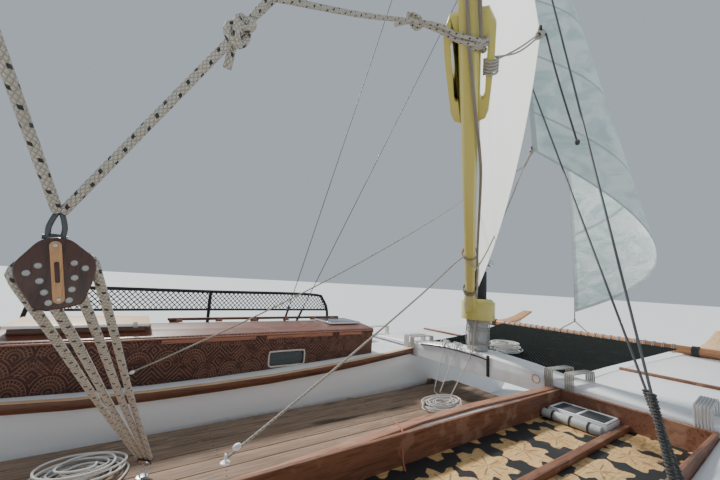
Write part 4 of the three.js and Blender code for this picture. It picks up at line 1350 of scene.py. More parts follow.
# The boom's own frame: along it from the mast's axis, to starboard, and up from its middle
BOOM_AZIMUTH = 216.5
BOOM_RISE = 30.0
BOOM_FOOT = (0, -0.08, 1.43)
BOOM_FRAME = (Matrix.Translation((MAST_X, 0, 0)) @ Matrix.Rotation(math.radians(BOOM_AZIMUTH), 4, "Z")
              @ Matrix.Translation(BOOM_FOOT) @ Matrix.Rotation(math.radians(-BOOM_RISE), 4, "Y"))


def on_boom(along: float, side: float = 0.0, up: float = 0.0) -> Vector:
    """Returns a place on the boom.

    Args:
        along: Distance from the mast's axis.
        side: Distance to starboard of its middle.
        up: Height above its middle.
    """
    return BOOM_FRAME @ Vector((along, side, up))


BOOM_WAY = on_boom(1) - on_boom(0)


# Sub-assemblies

@dataclass
class View:
    """The camera, the light and the pale floor at the waterline."""

    place: Point = (-1.709, -2.123, 1.663)
    azimuth: float = 55.89
    elevation: float = 7.43
    roll: float = 3.27
    lens: float = 16.25
    sun_azimuth: float = 100.0
    sun_elevation: float = 42.0
    sun_strength: float = 5.2
    sun_spread: float = 7.0
    sun_colour: Colour = (1.0, 0.965, 0.91)
    sky_colour: Colour = (0.74, 0.83, 0.93)
    sky_strength: float = 0.55
    floor_size: float = 400.0

    def camera(self) -> None:
        """Sets up the camera."""
        azimuth, elevation, roll = (math.radians(angle)
                                    for angle in (self.azimuth, self.elevation, self.roll))
        look = Vector((math.cos(elevation) * math.cos(azimuth), math.cos(elevation) * math.sin(azimuth),
                       math.sin(elevation)))
        level = look.cross(Vector((0, 0, 1))).normalized()
        plumb = level.cross(look)
        right = level * math.cos(roll) + plumb * math.sin(roll)
        up = plumb * math.cos(roll) - level * math.sin(roll)
        bpy.ops.object.camera_add(location=self.place)
        camera = bpy.context.object
        camera.rotation_euler = Matrix((right, up, -look)).transposed().to_euler()
        camera.data.lens = self.lens
        camera.data.clip_start = 0.02
        camera.data.clip_end = 900.0
        bpy.context.scene.camera = camera

    def light(self) -> None:
        """Sets up a soft sun abeam to port and a pale sky."""
        azimuth, elevation = math.radians(self.sun_azimuth), math.radians(self.sun_elevation)
        towards = Vector((math.cos(elevation) * math.cos(azimuth), math.cos(elevation) * math.sin(azimuth),
                          math.sin(elevation)))
        bpy.ops.object.light_add(type="SUN", location=(0, 0, 12),
                                 rotation=towards.to_track_quat("Z", "Y").to_euler())
        sun = bpy.context.object.data
        sun.energy, sun.angle, sun.color = self.sun_strength, math.radians(self.sun_spread), self.sun_colour
        world = bpy.data.worlds.new("pale_sky")
        bpy.context.scene.world = world
        world.use_nodes = True
        background = world.node_tree.nodes["Background"]
        background.inputs["Color"].default_value = (*self.sky_colour, 1.0)
        background.inputs["Strength"].default_value = self.sky_strength

    def floor(self) -> None:
        """Lays the floor."""
        bpy.ops.mesh.primitive_plane_add(size=self.floor_size, location=(0, 0, 0))
        floor = settle(bpy.context.object, "floor")
        graph = Graph("pale_floor")
        cloud = graph.noise(graph.place(), 0.4, 3)
        floor.data.materials.append(graph.surface(graph.mix(cloud * 0.2, (0.72, 0.76, 0.78),
                                                            (0.64, 0.7, 0.73)), 0.9))

    def build(self) -> None:
        """Sets up all of it."""
        self.camera()
        self.light()
        self.floor()


@dataclass
class Hulls:
    """The two hulls, their gunwale rails, prow boards, foredeck battens and vent box."""

    round_over: float = 0.008

    def build(self) -> None:
        """Builds and dresses both hulls."""
        for side, sign in (("port", 1), ("starboard", -1)):
            deliver_copy(f"hull_{side}", f"{side}_hull", self.round_over, Look.HULL, "hull_paint")
            for edge in ("inner", "outer"):
                self.rail(side, edge)
            self.prow_board(side, sign)
            deliver_copy(f"foredeck_batten_{side}", f"{side}_foredeck_strip", 0.004, Look.SIDE_BOARD,
                         "varnish")
            deliver_copy(f"deck_ledge_{side}", f"{side}_deck_ledge", 0.004, Look.RAIL, "varnish")
        deliver_copy("vent_box", "foredeck_vent", 0.012, Look.BEAM, "hull_paint", 3)

    def rail(self, side: str, edge: str) -> None:
        """Builds one gunwale rail, dark varnish on its sides and a paler top, painted light on its top faces.

        Args:
            side: Port or starboard.
            edge: Inner or outer.
        """
        node = f"gunwale_{side}_{edge}"
        piece = fine_copy(node, f"{side}_{edge}_rail", 0.005)
        lower, top = Look.RAIL, Look.RAIL_TOP
        if (side, edge) == ("starboard", "inner"):
            lower, top = Look.SIDE_BOARD, Look.BOARD_TOP
        piece.data.materials.append(lower.material())
        # Painted light: the upward faces take a paler copy of the rail's timber.
        paint_faces(piece, top, lambda middle, normal: normal.z > 0.6)
        deliver(piece, lower, "varnish", replaces=[node])

    def prow_board(self, side: str, sign: int) -> None:
        """Builds one prow board.

        Args:
            side: Port or starboard.
            sign: 1 for port, -1 for starboard.
        """
        node = f"prow_board_{side}"
        piece = fine_copy(node, f"{side}_prow_board", 0.006)
        piece.data.materials.append((Look.PROW if sign > 0 else Look.TAN).material())
        if sign < 0:
            paint_faces(piece, Look.PROW_BAND, lambda middle, normal: abs(normal.z) < 0.4)
        deliver(piece, Look.PROW, "tan_wood", replaces=[node])


@dataclass
class Beams:
    """The three cross beams."""

    round_over: float = 0.014

    def build(self) -> None:
        """Builds and dresses the beams."""
        for node in ("mast_beam", "aft_beam"):
            deliver_copy(node, f"{node}_box", self.round_over, Look.BEAM, "hull_paint", 3)
        low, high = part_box("fore_beam")
        middle = [(a + b) / 2 for a, b in zip(low, high)]
        pole = round_bar("fore_pole", (middle[0], low[1], middle[2]), (middle[0], high[1], middle[2]),
                         (high[2] - low[2]) / 2, 32)
        deliver(soften(pole, 0.01, 3), Look.SPAR, "tan_wood", replaces=["fore_beam"])


@dataclass
class PlankDeck:
    """The plank deck between the hulls, with its nail heads."""

    bearers: tuple[float, ...] = (-2.5, -1.15, 0.2, 1.5)
    planks: int = 10
    pitch: float = 0.1288
    edge: float = -0.61
    nail_heights: tuple[float, float] = (0.538, 0.5415)
    nail_radius: float = 0.005
    pair: Point = (0.012, 0.06, 0)

    def build(self) -> None:
        """Builds and dresses the deck."""
        deliver_copy("plank_deck", "planks", 0.004, Look.PLANKS, "plank")
        low, high = self.nail_heights
        rows = []
        for number, x in enumerate(self.bearers):
            nail = round_bar(f"nail_row_{number}", (x, self.edge, low), (x, self.edge, high),
                             self.nail_radius, 8)
            soften(nail, 0.001, 1)
            modify(nail, "ARRAY", count=2, use_relative_offset=False, use_constant_offset=True,
                   constant_offset_displace=self.pair)
            rows.append(modify(nail, "ARRAY", count=self.planks, use_relative_offset=False,
                               use_constant_offset=True,
                               constant_offset_displace=(0, self.pitch, 0)))
        deliver(joined("deck_nails", *rows), Look.BLACK, "steel")


@dataclass
class Cabin:
    """The low cabin on the port hull."""

    def build(self) -> None:
        """Builds and dresses the cabin."""
        for node, look, slot, width in (
                ("cabin_wall_inner", Look.CABIN_SIDE, "cabin_wood", 0.002),
                ("cabin_wall_outer", Look.CABIN_SIDE, "cabin_wood", 0.002),
                ("cabin_front", Look.CABIN_SIDE, "cabin_wood", 0.002),
                ("cabin_aft", Look.CABIN_SIDE, "cabin_wood", 0.002),
                ("cabin_roof", Look.CABIN_ROOF, "cabin_wood", 0.004),
                ("window_inner", Look.PANE, "pane", 0.001),
                ("window_outer", Look.PANE, "pane", 0.001),
                ("hatch_coaming", Look.RAIL, "varnish", 0.004),
                ("roof_handrail", Look.RAIL, "varnish", 0.006)):
            piece = fine_copy(node, f"{node}_made", width)
            piece.data.materials.append(look.material())
            if node == "cabin_roof":
                paint_faces(piece, Look.CABIN_SIDE, lambda middle, normal: abs(normal.y) > 0.55)
            deliver(piece, look, slot, replaces=[node])
        deliver_copy("hatch_lid", "hatch_cover", 0.006, Look.TAN, "tan_wood", 3, "hatch")
        self.solar()

    def solar(self) -> None:
        """Builds the solar panel, dark cells in a pale frame."""
        piece = fine_copy("solar_panel", "solar_cells", 0.003)
        piece.data.materials.append(Look.BEAM.material())
        paint_faces(piece, Look.CELLS, lambda middle, normal: normal.z > 0.9)
        deliver(piece, Look.BEAM, "black", replaces=["solar_panel"])


@dataclass
class WorkDeck:
    """The sunk working deck on the starboard hull."""

    bar_inset: float = 0.012

    def build(self) -> None:
        """Builds and dresses the working deck."""
        for node, look, slot, width in (
                ("work_coaming", Look.SIDE_BOARD, "varnish", 0.004),
                ("work_deck", Look.LEAVES, "deck_ply", 0.001),
                ("work_batten", Look.SIDE_BOARD, "varnish", 0.005),
                ("cloth_roll", Look.ROLL, "sailcloth", 0.006)):
            deliver_copy(node, f"{node}_made", width, look, slot)
        piece = fine_copy("mesh_hatch", "mesh_hatch_frame", 0.006)
        piece.data.materials.append(Look.BEAM.material())
        paint_faces(piece, Look.MESH, lambda middle, normal: normal.z > 0.9)
        deliver(piece, Look.BEAM, "black", replaces=["mesh_hatch"])
        low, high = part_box("mesh_hatch")
        a, b = low[0] + self.bar_inset, high[0] - self.bar_inset
        c, d = low[1] + self.bar_inset, high[1] - self.bar_inset
        top = high[2] + 0.001
        bars = [((a, y, top), (b, y, top)) for y in (c, d)]
        bars += [((x, c, top), (x, d, top)) for x in (a, b)]
        bars.append(((a, (c + d) / 2, top), (b, (c + d) / 2, top)))
        deliver(joined("mesh_hatch_bars", *(strip("bar", ends, 0.016, 0.008, 0.003) for ends in bars)),
                Look.BEAM, "hull_paint")
        low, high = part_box("cloth_roll")
        middle = [(p + q) / 2 for p, q in zip(low, high)]
        half = ((high[0] - low[0]) / 2 + 0.002, (high[2] - low[2]) / 2 + 0.002)
        ties = [lashing("turns", (middle[0], low[1] + (high[1] - low[1]) * t, middle[2]), (0, 1, 0), half, 2,
                        0.012, 0.0028)
                for t in (0.2, 0.5, 0.8)]
        deliver(joined("roll_ties", *ties), Look.DARK_ROPE, "rope")


@dataclass
class NetRails:
    """The tube rails on the outer side decks, with their nets."""

    tube: float = 0.017
    top: float = 1.47
    low: float = 1.275
    bend: float = 0.24
    cell: float = 0.048
    sides: tuple[tuple[str, float, float, tuple[float, ...]], ...] = (
        ("port", -2.44, 0.47, (-1.0,)), ("starboard", -2.9, -1.8, ()))

    def build(self) -> None:
        """Builds and dresses both rails."""
        for side, aft, front, posts in self.sides:
            node = f"net_rail_{side}"
            foot = [middle_of(node, (x - 0.02, -2.2, 0.7), (x + 0.02, 2.2, self.low - 0.05))
                    for x in (aft, front)]
            centre, reach = (aft + front) / 2, (front - aft) / 2

            def line(x: float) -> float:
                """Returns where a straight rail between the feet would stand, across the boat."""
                return foot[0].y + (foot[1].y - foot[0].y) * (x - aft) / (front - aft)

            bottom = [min(v.co.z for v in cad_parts[node].data.vertices if abs(v.co.x - x) < 0.02)
                      for x in (aft, front)]
            crown = middle_of(node, (centre - 0.2, -2.2, self.top - 0.03),
                              (centre + 0.2, 2.2, self.top + 0.03))
            bow = crown.y - line(centre)

            def across(x: float) -> float:
                """Returns where the bowed rail stands, across the boat."""
                return line(x) + bow * (1 - ((x - centre) / reach) ** 2)

            self.arch(side, aft, front, bottom, across, posts)

    def arch(self, side: str, aft: float, front: float, bottom: Sequence[float],
             across: Callable[[float], float],
             posts: Sequence[float]) -> None:
        """Builds one rail and its net.

        Args:
            side: Port or starboard.
            aft: Where its aft leg stands.
            front: Where its front leg stands.
            bottom: How low its aft and front legs reach.
            across: Gives its place across the boat at a place along it.
            posts: Where posts stand between the legs.
        """
        bend, top = self.bend, self.top
        knots = [(front, bottom[1]), (front, top - bend), (front - bend * 0.3, top - bend * 0.3),
                 (front - bend, top)]
        knots += [((front + aft) / 2, top)]
        knots += [(aft + bend, top), (aft + bend * 0.3, top - bend * 0.3), (aft, top - bend),
                  (aft, bottom[0])]
        tube = rope(f"{side}_rail_tube", [(x, across(x), z) for x, z in knots], self.tube, 0.05, 12)
        centre = (aft + front) / 2
        bar = [(aft + 0.02, across(aft), self.low), (centre, across(centre), self.low),
               (front - 0.02, across(front), self.low)]
        parts = [tube, rope("bar", bar, 0.012, 0.08, 10)]
        for x in posts:
            low = height_over(f"gunwale_{side}_outer", x, across(x)) or bottom[0]
            parts.append(rope("post", [(x, across(x), low), (x, across(x), top)], self.tube, 0.2, 12))
        deliver(joined(f"{side}_rail_tube", *parts), Look.BLACK, "black", replaces=[f"net_rail_{side}"])

        def place(u: float, v: float) -> Vector:
            """Returns a place on the net between the low bar and the arch."""
            x = aft + 0.03 + (front - aft - 0.06) * u
            end = min(x - aft, front - x)
            share = min(1.0, end / bend)
            high = top - bend * (1 - math.sin(math.acos(1 - share))) if share < 1 else top
            high = max(high, self.low + 0.01)
            sag = 0.012 * math.sin(math.pi * v)
            return Vector((x, across(x) + sag, self.low + (high - self.low) * v))

        net = diamond_net(f"{side}_rail_net", round((front - aft) / self.cell), 4, place, 0.0125)
        deliver(net, Look.NET, "net")


@dataclass
class ForeNet:
    """The net between the mast beam and the fore beam."""

    cell: float = 0.046
    cord: float = 0.0095

    def build(self) -> None:
        """Builds and dresses the net."""
        low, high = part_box("fore_net")
        ends = {}
        for x in [low[0] + 0.005 + (high[0] - low[0] - 0.01) * i / 40 for i in range(41)]:
            near, far = 0.0, 1.3
            for _ in range(16):
                middle = (near + far) / 2
                near, far = (middle, far) if height_over("fore_net", x, middle) > 0.8 else (near, middle)
            ends[x] = near
        stops = sorted(ends)

        def half(x: float) -> float:
            """Returns half the net's width at a place along the boat."""
            i = min(len(stops) - 2, max(0, int((x - stops[0]) / (stops[1] - stops[0]))))
            t = (x - stops[i]) / (stops[i + 1] - stops[i])
            return ends[stops[i]] * (1 - t) + ends[stops[i + 1]] * t

        def place(u: float, v: float) -> Vector:
            """Returns a place on the net."""
            x = stops[0] + (stops[-1] - stops[0]) * u
            y = (2 * v - 1) * half(x)
            return Vector((x, y, height_over("fore_net", x, y * 0.99) - 0.005))

        net = diamond_net("fore_deck_net", round((high[0] - low[0]) / self.cell),
                          round((high[1] - low[1]) / self.cell),
                          place, self.cord)
        deliver(net, Look.NET, "net", replaces=["fore_net"])


@dataclass
class Mast:
    """The mast, its post, sleeve, winches and stays."""

    foot: Point = (3.44, 0.0, 1.33)
    head: Point = (1.3213, 0.0, 8.82)
    sag: float = 0.26

    def stay(self, t: float) -> Vector:
        """Returns a point of the forestay, from 0 at its foot to 1 at its head."""
        return Vector(self.foot).lerp(Vector(self.head), t) + Vector((0, -self.sag * 4 * t * (1 - t), 0))

    def build(self) -> None:
        """Builds and dresses the mast and stays."""
        for node, name, look, slot, width in (
                ("mast_post", "mast_stump", Look.POST, "post", 0.006),
                ("mast", "mast_tube", Look.ALLOY, "alloy", 0.006),
                ("mast_sleeve", "mast_boot", Look.BLACK, "black", 0.006),
                ("mast_winch", "winches", Look.STEEL, "steel", 0.004),
                ("chainplate_port", "port_chainplate", Look.STEEL, "steel", 0.004),
                ("chainplate_starboard", "starboard_chainplate", Look.STEEL, "steel", 0.004)):
            deliver_copy(node, name, width, look, slot)
        bolt = turned("chainplate_bolts",
                      [(0, -0.003), (0.011, -0.003), (0.011, 0.004), (0.008, 0.008), (0, 0.008)], (0, 0, 0),
                      (0, 0, 1), 12)
        tops = [Matrix.Translation((x, sign * 1.8, 0.907)) for sign in (-1, 1)
                for x in (-0.222, -0.16, -0.08, -0.018)]
        deliver(repeated(bolt, tops), Look.STEEL, "steel")
        for side in ("port", "starboard"):
            for level in ("upper", "lower"):
                self.shroud(side, level)
        line = [self.stay(i / 24) for i in range(25)]
        deliver(rope("jib_stay", line, 0.006, 0.2), Look.WIRE, "steel", replaces=["forestay"])
        deliver_copy("stay_bridle", "bow_bridle", 0.002, Look.ROPE, "rope")

    def shroud(self, side: str, level: str) -> None:
        """Builds one shroud and the lashing at its foot.

        Args:
            side: Port or starboard.
            level: Upper or lower.
        """
        node = f"shroud_{side}_{level}"
        low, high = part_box(node)
        foot = middle_of(node, (-1, -2, low[2] - 0.01), (1, 2, low[2] + 0.04))
        head = middle_of(node, (0, -1, high[2] - 0.02), (2, 1, high[2] + 0.01))
        foot.z = low[2]
        along = (head - foot).normalized()
        wire = rope(f"{side}_{level}_shroud", [foot + along * 0.02, head], 0.005, 0.4)
        deliver(wire, Look.WIRE, "steel", replaces=[node])
        turns = rope(f"{side}_{level}_lashing",
                     coil_points(foot + along * 0.012, foot + along * 0.43, 0.0105, 40,
                                                            per_turn=8), 0.0052, 0.012, 6)
        deliver(turns, Look.DARK_ROPE, "black")


@dataclass
class Boom:
    """The boom with its jaw and slotted wings."""

    def build(self) -> None:
        """Builds and dresses the boom."""
        for node in ("boom", "boom_wing_port", "boom_wing_starboard"):
            deliver_copy(node, f"{node}_painted", 0.007, Look.BOOM, "boom_paint", 3, "boom")


@dataclass
class Mainsail:
    """The mainsail."""

    mast: Point = (MAST_X, 0.0, 0.0)
    clew: Point = MAIN_CLEW
    tack_height: float = 1.69
    head_height: float = 8.45
    luff_gap: float = 0.088
    luff_turn: float = 38.0
    head: float = 0.06
    round_power: float = 0.86
    belly: float = 0.04
    droop: float = -0.06

    def point(self, u: float, v: float) -> Vector:
        """Returns a point of the sail, u from luff to leech and v from foot to head."""
        clew, mast = Vector(self.clew), Vector(self.mast)
        along = Vector((clew.x - mast.x, clew.y, 0))
        chord = along.length - self.luff_gap
        along.normalize()
        across = Vector((-along.y, along.x, 0))
        away = Matrix.Rotation(math.radians(self.luff_turn), 3, "Z") @ Vector((-self.luff_gap, 0, 0))
        height = self.tack_height + (self.head_height - self.tack_height) * v
        width = self.head + (chord - self.head) * max(0.0, 1 - v) ** self.round_power
        luff = mast + away + Vector((0, 0, height))
        leech = mast + along * (self.luff_gap
                                + width) + Vector((0, 0, height + (clew.z - self.tack_height) * (1 - v)))
        hang = Vector((0, 0, -self.droop * math.sin(math.pi * u) * (1 - v)))
        return luff.lerp(leech, u) + across * (self.belly * width * 4 * u * (1 - u)) + hang

    def build(self) -> None:
        """Builds and dresses the sail."""
        sail = cloth("main_sail", 44, 120, self.point, 0.003)
        deliver(sail, Look.SAIL, "sailcloth", "boom", ["mainsail"])


@dataclass
class Jib:
    """The jib."""

    mast: Mast
    tack: float = 0.012
    head: float = 0.84
    head_width: float = 0.06
    clew: Point = JIB_CLEW
    belly: float = 0.55
    fade: float = 0.28
    forward: float = 0.17
    droop: float = 0.18
    off: float = 0.0067

    def point(self, u: float, v: float) -> Vector:
        """Returns a point of the sail, u from luff to leech and v from foot to head."""
        luff = self.mast.stay(self.tack + (self.head - self.tack) * v) + Vector((-self.off, 0, 0))
        head = self.mast.stay(self.head) + Vector((-self.off - self.head_width, 0, 0))
        chord = Vector(self.clew).lerp(head, v) - luff
        depth = self.belly * math.hypot(chord.x, chord.y) * (1 - self.fade * v)
        bulge = math.sin(math.pi * u)
        return luff + chord * u + Vector((self.forward * depth * bulge, -depth * bulge,
                                          -self.droop * bulge * (1 - v)))

    def build(self) -> None:
        """Builds and dresses the sail."""
        sail = cloth("jib_sail", 44, 100, self.point, 0.003)
        deliver(sail, Look.JIB, "sailcloth", "root", ["jib"])


@dataclass
class Tackle:
    """The mainsheet: its upper block on two rope legs, the falls and the lower block."""

    centre: Point = (-1.858, -1.104, 1.647)
    turn: float = 8.0
    lean: float = -10.0
    half_line: tuple[tuple[float, float], ...] = ((0.02, 0.076), (0.048, 0.05), (0.068, 0.022),
                                                  (0.066, -0.014),
                                                  (0.052, -0.052), (0.034, -0.08))
    half_thick: float = 0.023
    cheek: float = 0.01
    eye_height: float = 0.13
    feet: tuple[float, float] = (3.28, 5.5)
    leg: float = 0.011
    fall: float = 0.0113
    lower: Point = (-1.545, 0.113, 0.625)
    right: Point = (0.829, -0.559, 0.0)
    leg_knot: tuple[Point, ...] = (
        (-0.03, 0.2, 0.9), (-0.01, 1.3, 0.6), (0.022, 0.6, -1.1), (0.028, -0.9, -0.6), (0.0, -1.4, 0.5),
        (-0.028, -0.4, 1.2), (-0.036, 0.9, 0.2), (-0.012, 1.2, -0.9), (0.02, 0.1, 1.2), (0.036, 0.4, 0.1),
        (-0.02, -1.2, -0.6), (-0.07, -2.0, 0.6), (-0.085, -2.6, 0.7))
    studs: tuple[tuple[float, float], ...] = ((0.03, 0.018), (0.049, 0.004), (0.029, -0.016), (0.023, -0.042),
                                              (0.017, -0.066))

    def place(self) -> Matrix:
        """Returns where the upper block hangs."""
        return (Matrix.Translation(self.centre) @ Matrix.Rotation(math.radians(self.turn), 4, "Z")
                @ Matrix.Rotation(math.radians(self.lean), 4, "Y"))

    def build(self) -> None:
        """Builds and dresses the tackle."""
        self.upper_block()
        self.legs()
        self.lower_block()
        self.falls()

    def shell(self, name: str, place: Matrix, share: float) -> list[Piece]:
        """Builds a block's cheeks, straps, studs and sheaves.

        Args:
            name: What its pieces' names start with.
            place: Where it hangs.
            share: Its size as a share of the upper block's.

        Returns:
            Its cheeks, straps, studs and sheaves.
        """
        size = place @ Matrix.Scale(share, 4)
        ring_line = [*self.half_line, *((-x, z) for x, z in reversed(self.half_line))]
        line = smooth_path([(x, 0, z) for x, z in ring_line], 0.007, closed=True)[:-1]
        cheeks, straps, studs = [], [], []
        for side in (-1, 1):
            start = side * self.half_thick
            face = [point + Vector((0, start, 0)) for point in line]
            cheeks.append(soften(plate(f"{name}_cheeks", face, (0, -side * self.cheek, 0)), 0.004, 3, 50))
            bar = [(0.0105 * math.cos(a), start, 0.06 * (1 if math.sin(a) > 0 else -1) + 0.0105 * math.sin(a))
                   for a in (math.pi * (2 * k + 1) / 24 for k in range(24))]
            strap = plate(f"{name}_straps", bar, (0, side * 0.005, 0))
            slot = plate("slot", [(0.42 * x, y - side * 0.001, 0.34 * z) for x, y, z in bar],
                         (0, side * 0.008, 0))
            straps.append(soften(carve(strap, slot), 0.0012, 2))
            for x, z in self.studs:
                for hand in (-1, 1):
                    studs.append(Matrix.Translation((hand * x, start, z)) @ Matrix.Rotation(side * math.pi
                                                                                            / 2, 4, "X"))
        stud_line = [(0, -0.002), (0.0068, -0.002), (0.0068, 0.0012), (0.0052, 0.0026), (0.003, 0.0018),
                     (0, 0.0018)]
        stud = turned(f"{name}_studs", stud_line, (0, 0, 0), (0, 0, -1), 14)
        wheel = [(0.006, -0.011), (0.03, -0.011), (0.0235, -0.004), (0.0235, 0.004), (0.03, 0.011),
                 (0.006, 0.011)]
        sheaves = turned(f"{name}_sheaves", wheel, (0, 0, 0), (0, 1, 0), 28)
        pieces = [joined(f"{name}_cheeks", *cheeks), joined(f"{name}_straps", *straps), repeated(stud, studs),
                  repeated(sheaves, [Matrix.Translation((x, 0, -0.004)) for x in (-0.033, 0.033)])]
        for piece in pieces:
            piece.data.transform(size)
        return pieces

    def upper_block(self) -> None:
        """Builds the upper block, its bolts and its shackle."""
        place = self.place()
        cheeks, straps, studs, sheaves = self.shell("upper", place, 1.0)
        deliver(cheeks, Look.BLOCK_CHEEK, "varnish", "boom", ["mainsheet_block"])
        deliver(straps, Look.BLOCK_STRAP, "varnish", "boom")
        deliver(studs, Look.POST, "steel", "boom")
        deliver(sheaves, Look.BLACK, "black", "boom")
        bolts = round_bar("strap_bolts", (0, -0.0315, 0), (0, 0.0315, 0), 0.0045, 12)
        soften(bolts, 0.0012)
        deliver(repeated(bolts, [place @ Matrix.Translation((0, 0, z)) for z in (-0.061, 0.061)]), Look.STEEL,
                "steel", "boom")
        top, eye = self.apex()
        side = Vector((0.013, 0.002, 0))
        bow = [top + side, top + side + (eye - top) * 0.55, eye + Vector((0, 0, 0.012)),
               top - side + (eye - top) * 0.55,
               top - side]
        pin = rope("pin", [top - side * 1.7, top + side * 1.7], 0.0055, 0.02, 8)
        swivel = turned("swivel", [(0, -0.012), (0.013, -0.012), (0.016, 0), (0.01, 0.008), (0, 0.008)], top,
                        (0, 0, 1), 16)
        deliver(joined("block_shackle", rope("bow", bow, 0.0055, 0.006, 8), pin, swivel), Look.WIRE, "steel",
                "boom")

    def apex(self) -> tuple[Vector, Vector]:
        """Returns the top of the block and the place where the two legs meet."""
        top = self.place() @ Vector((0, 0, 0.08))
        return top, Vector((top.x, top.y, self.centre[2] + self.eye_height))

    def legs(self) -> None:
        """Builds the two rope legs, each with its knot and the loop that holds it to the boom."""
        eye = self.apex()[1]
        for name, foot, tied in (("front_leg", self.feet[0], 0.4), ("aft_leg", self.feet[1], 0.9)):
            end = on_boom(foot, 0, -0.06)
            along = (end - eye).normalized()
            side = along.cross(Vector((0, 0, 1))).normalized() * 0.016
            knot = eye.lerp(end, tied)
            start = eye + along * 0.012
            loop = [knot, knot.lerp(end, 0.35) + side, end + side * 0.9, end + along * 0.02, end - side * 0.9,
                    knot.lerp(end, 0.35) - side, knot]
            turns = knotted(knot, along, side, self.leg_knot)
            wraps = lashing("wraps", on_boom(foot, 0, 0), BOOM_WAY, (0.066, 0.066), 4, 0.075, 0.008)
            parts = [rope(name, [start, eye.lerp(end, 0.4), knot], self.leg, 0.03, 10),
                     rope("loop", loop, 0.0085, 0.02),
                     rope("knot", turns, self.leg, 0.012), wraps]
            deliver(joined(name, *parts), Look.SHEET_ROPE, "rope", "boom")

    def lower_block(self) -> None:
        """Builds the lower block, standing on its eye on the plank deck."""
        lower = Vector(self.lower)
        up = (Vector(self.centre) - lower).normalized()
        side = Vector(self.right).cross(up).normalized()
        across = up.cross(side)
        place = Matrix.Translation(lower) @ Matrix((across, -side, -up)).transposed().to_4x4()
        cheeks, straps, studs, sheaves = self.shell("lower", place, 0.6)
        deliver(cheeks, Look.BLOCK_CHEEK, "varnish")
        deliver(straps, Look.BLOCK_STRAP, "varnish")
        deliver(studs, Look.POST, "steel")
        deliver(sheaves, Look.BLACK, "black")
        deck = height_over("plank_deck", lower.x, lower.y)
        foot = Vector((lower.x, lower.y, deck))
        pad = turned("deck_eye", [(0, 0), (0.032, 0), (0.032, 0.003), (0.026, 0.006), (0, 0.006)], foot,
                     (0, 0, 1), 24)
        low = lower - up * 0.04
        bow = [foot + Vector((-0.012, 0, 0.004)), foot + Vector((-0.014, 0, 0.02)),
               low + Vector((0, 0, 0.006)),
               foot + Vector((0.014, 0, 0.02)), foot + Vector((0.012, 0, 0.004))]
        deliver(joined("deck_eye", pad, rope("bow", bow, 0.0045, 0.005, 8)), Look.STEEL, "steel")

    def falls(self) -> None:
        """Builds the four falls between the two blocks."""
        place, lower = self.place(), Vector(self.lower)
        right = Vector(self.right)
        starts = (((-0.018, 0.037), (-0.045, 0.036), (-0.066, 0.016), (-0.069, -0.01)),
                  ((-0.006, -0.02), (-0.013, -0.06)), ((0.03, -0.02), (0.037, -0.05)),
                  ((0.018, 0.039), (0.045, 0.038), (0.067, 0.018), (0.071, -0.01)))
        ropes = []
        for leads, shift in zip(starts, (-0.032, -0.012, 0.012, 0.032)):
            head = [place @ Vector((x, 0, z)) for x, z in leads]
            foot = lower + right * shift + Vector((0, 0, 0.012))
            middle = head[-1].lerp(foot, 0.5) - right * 0.008
            ropes.append(rope("falls", [*head, head[-1].lerp(foot, 0.15), middle, foot], self.fall, 0.02, 10))
        start = tuple(Vector(self.centre) - Vector((0, 0, 0.12)))
        end = tuple(lower + Vector((0, 0, 0.05)))
        deliver_blend(joined("sheet_falls", *ropes), Look.SHEET_ROPE, "boom", "root", start, end)


@dataclass
class Steering:
    """The rudders, their tillers and the bar between them."""

    def build(self) -> None:
        """Builds and dresses the steering."""
        for side in ("port", "starboard"):
            deliver_copy(f"rudder_{side}", f"{side}_rudder_made", 0.004, Look.PROW, "varnish",
                         body=f"rudder_{side}_body")
        deliver_copy("tiller_bar", "link_bar", 0.003, Look.ALLOY, "alloy", body="tiller_bar_body")


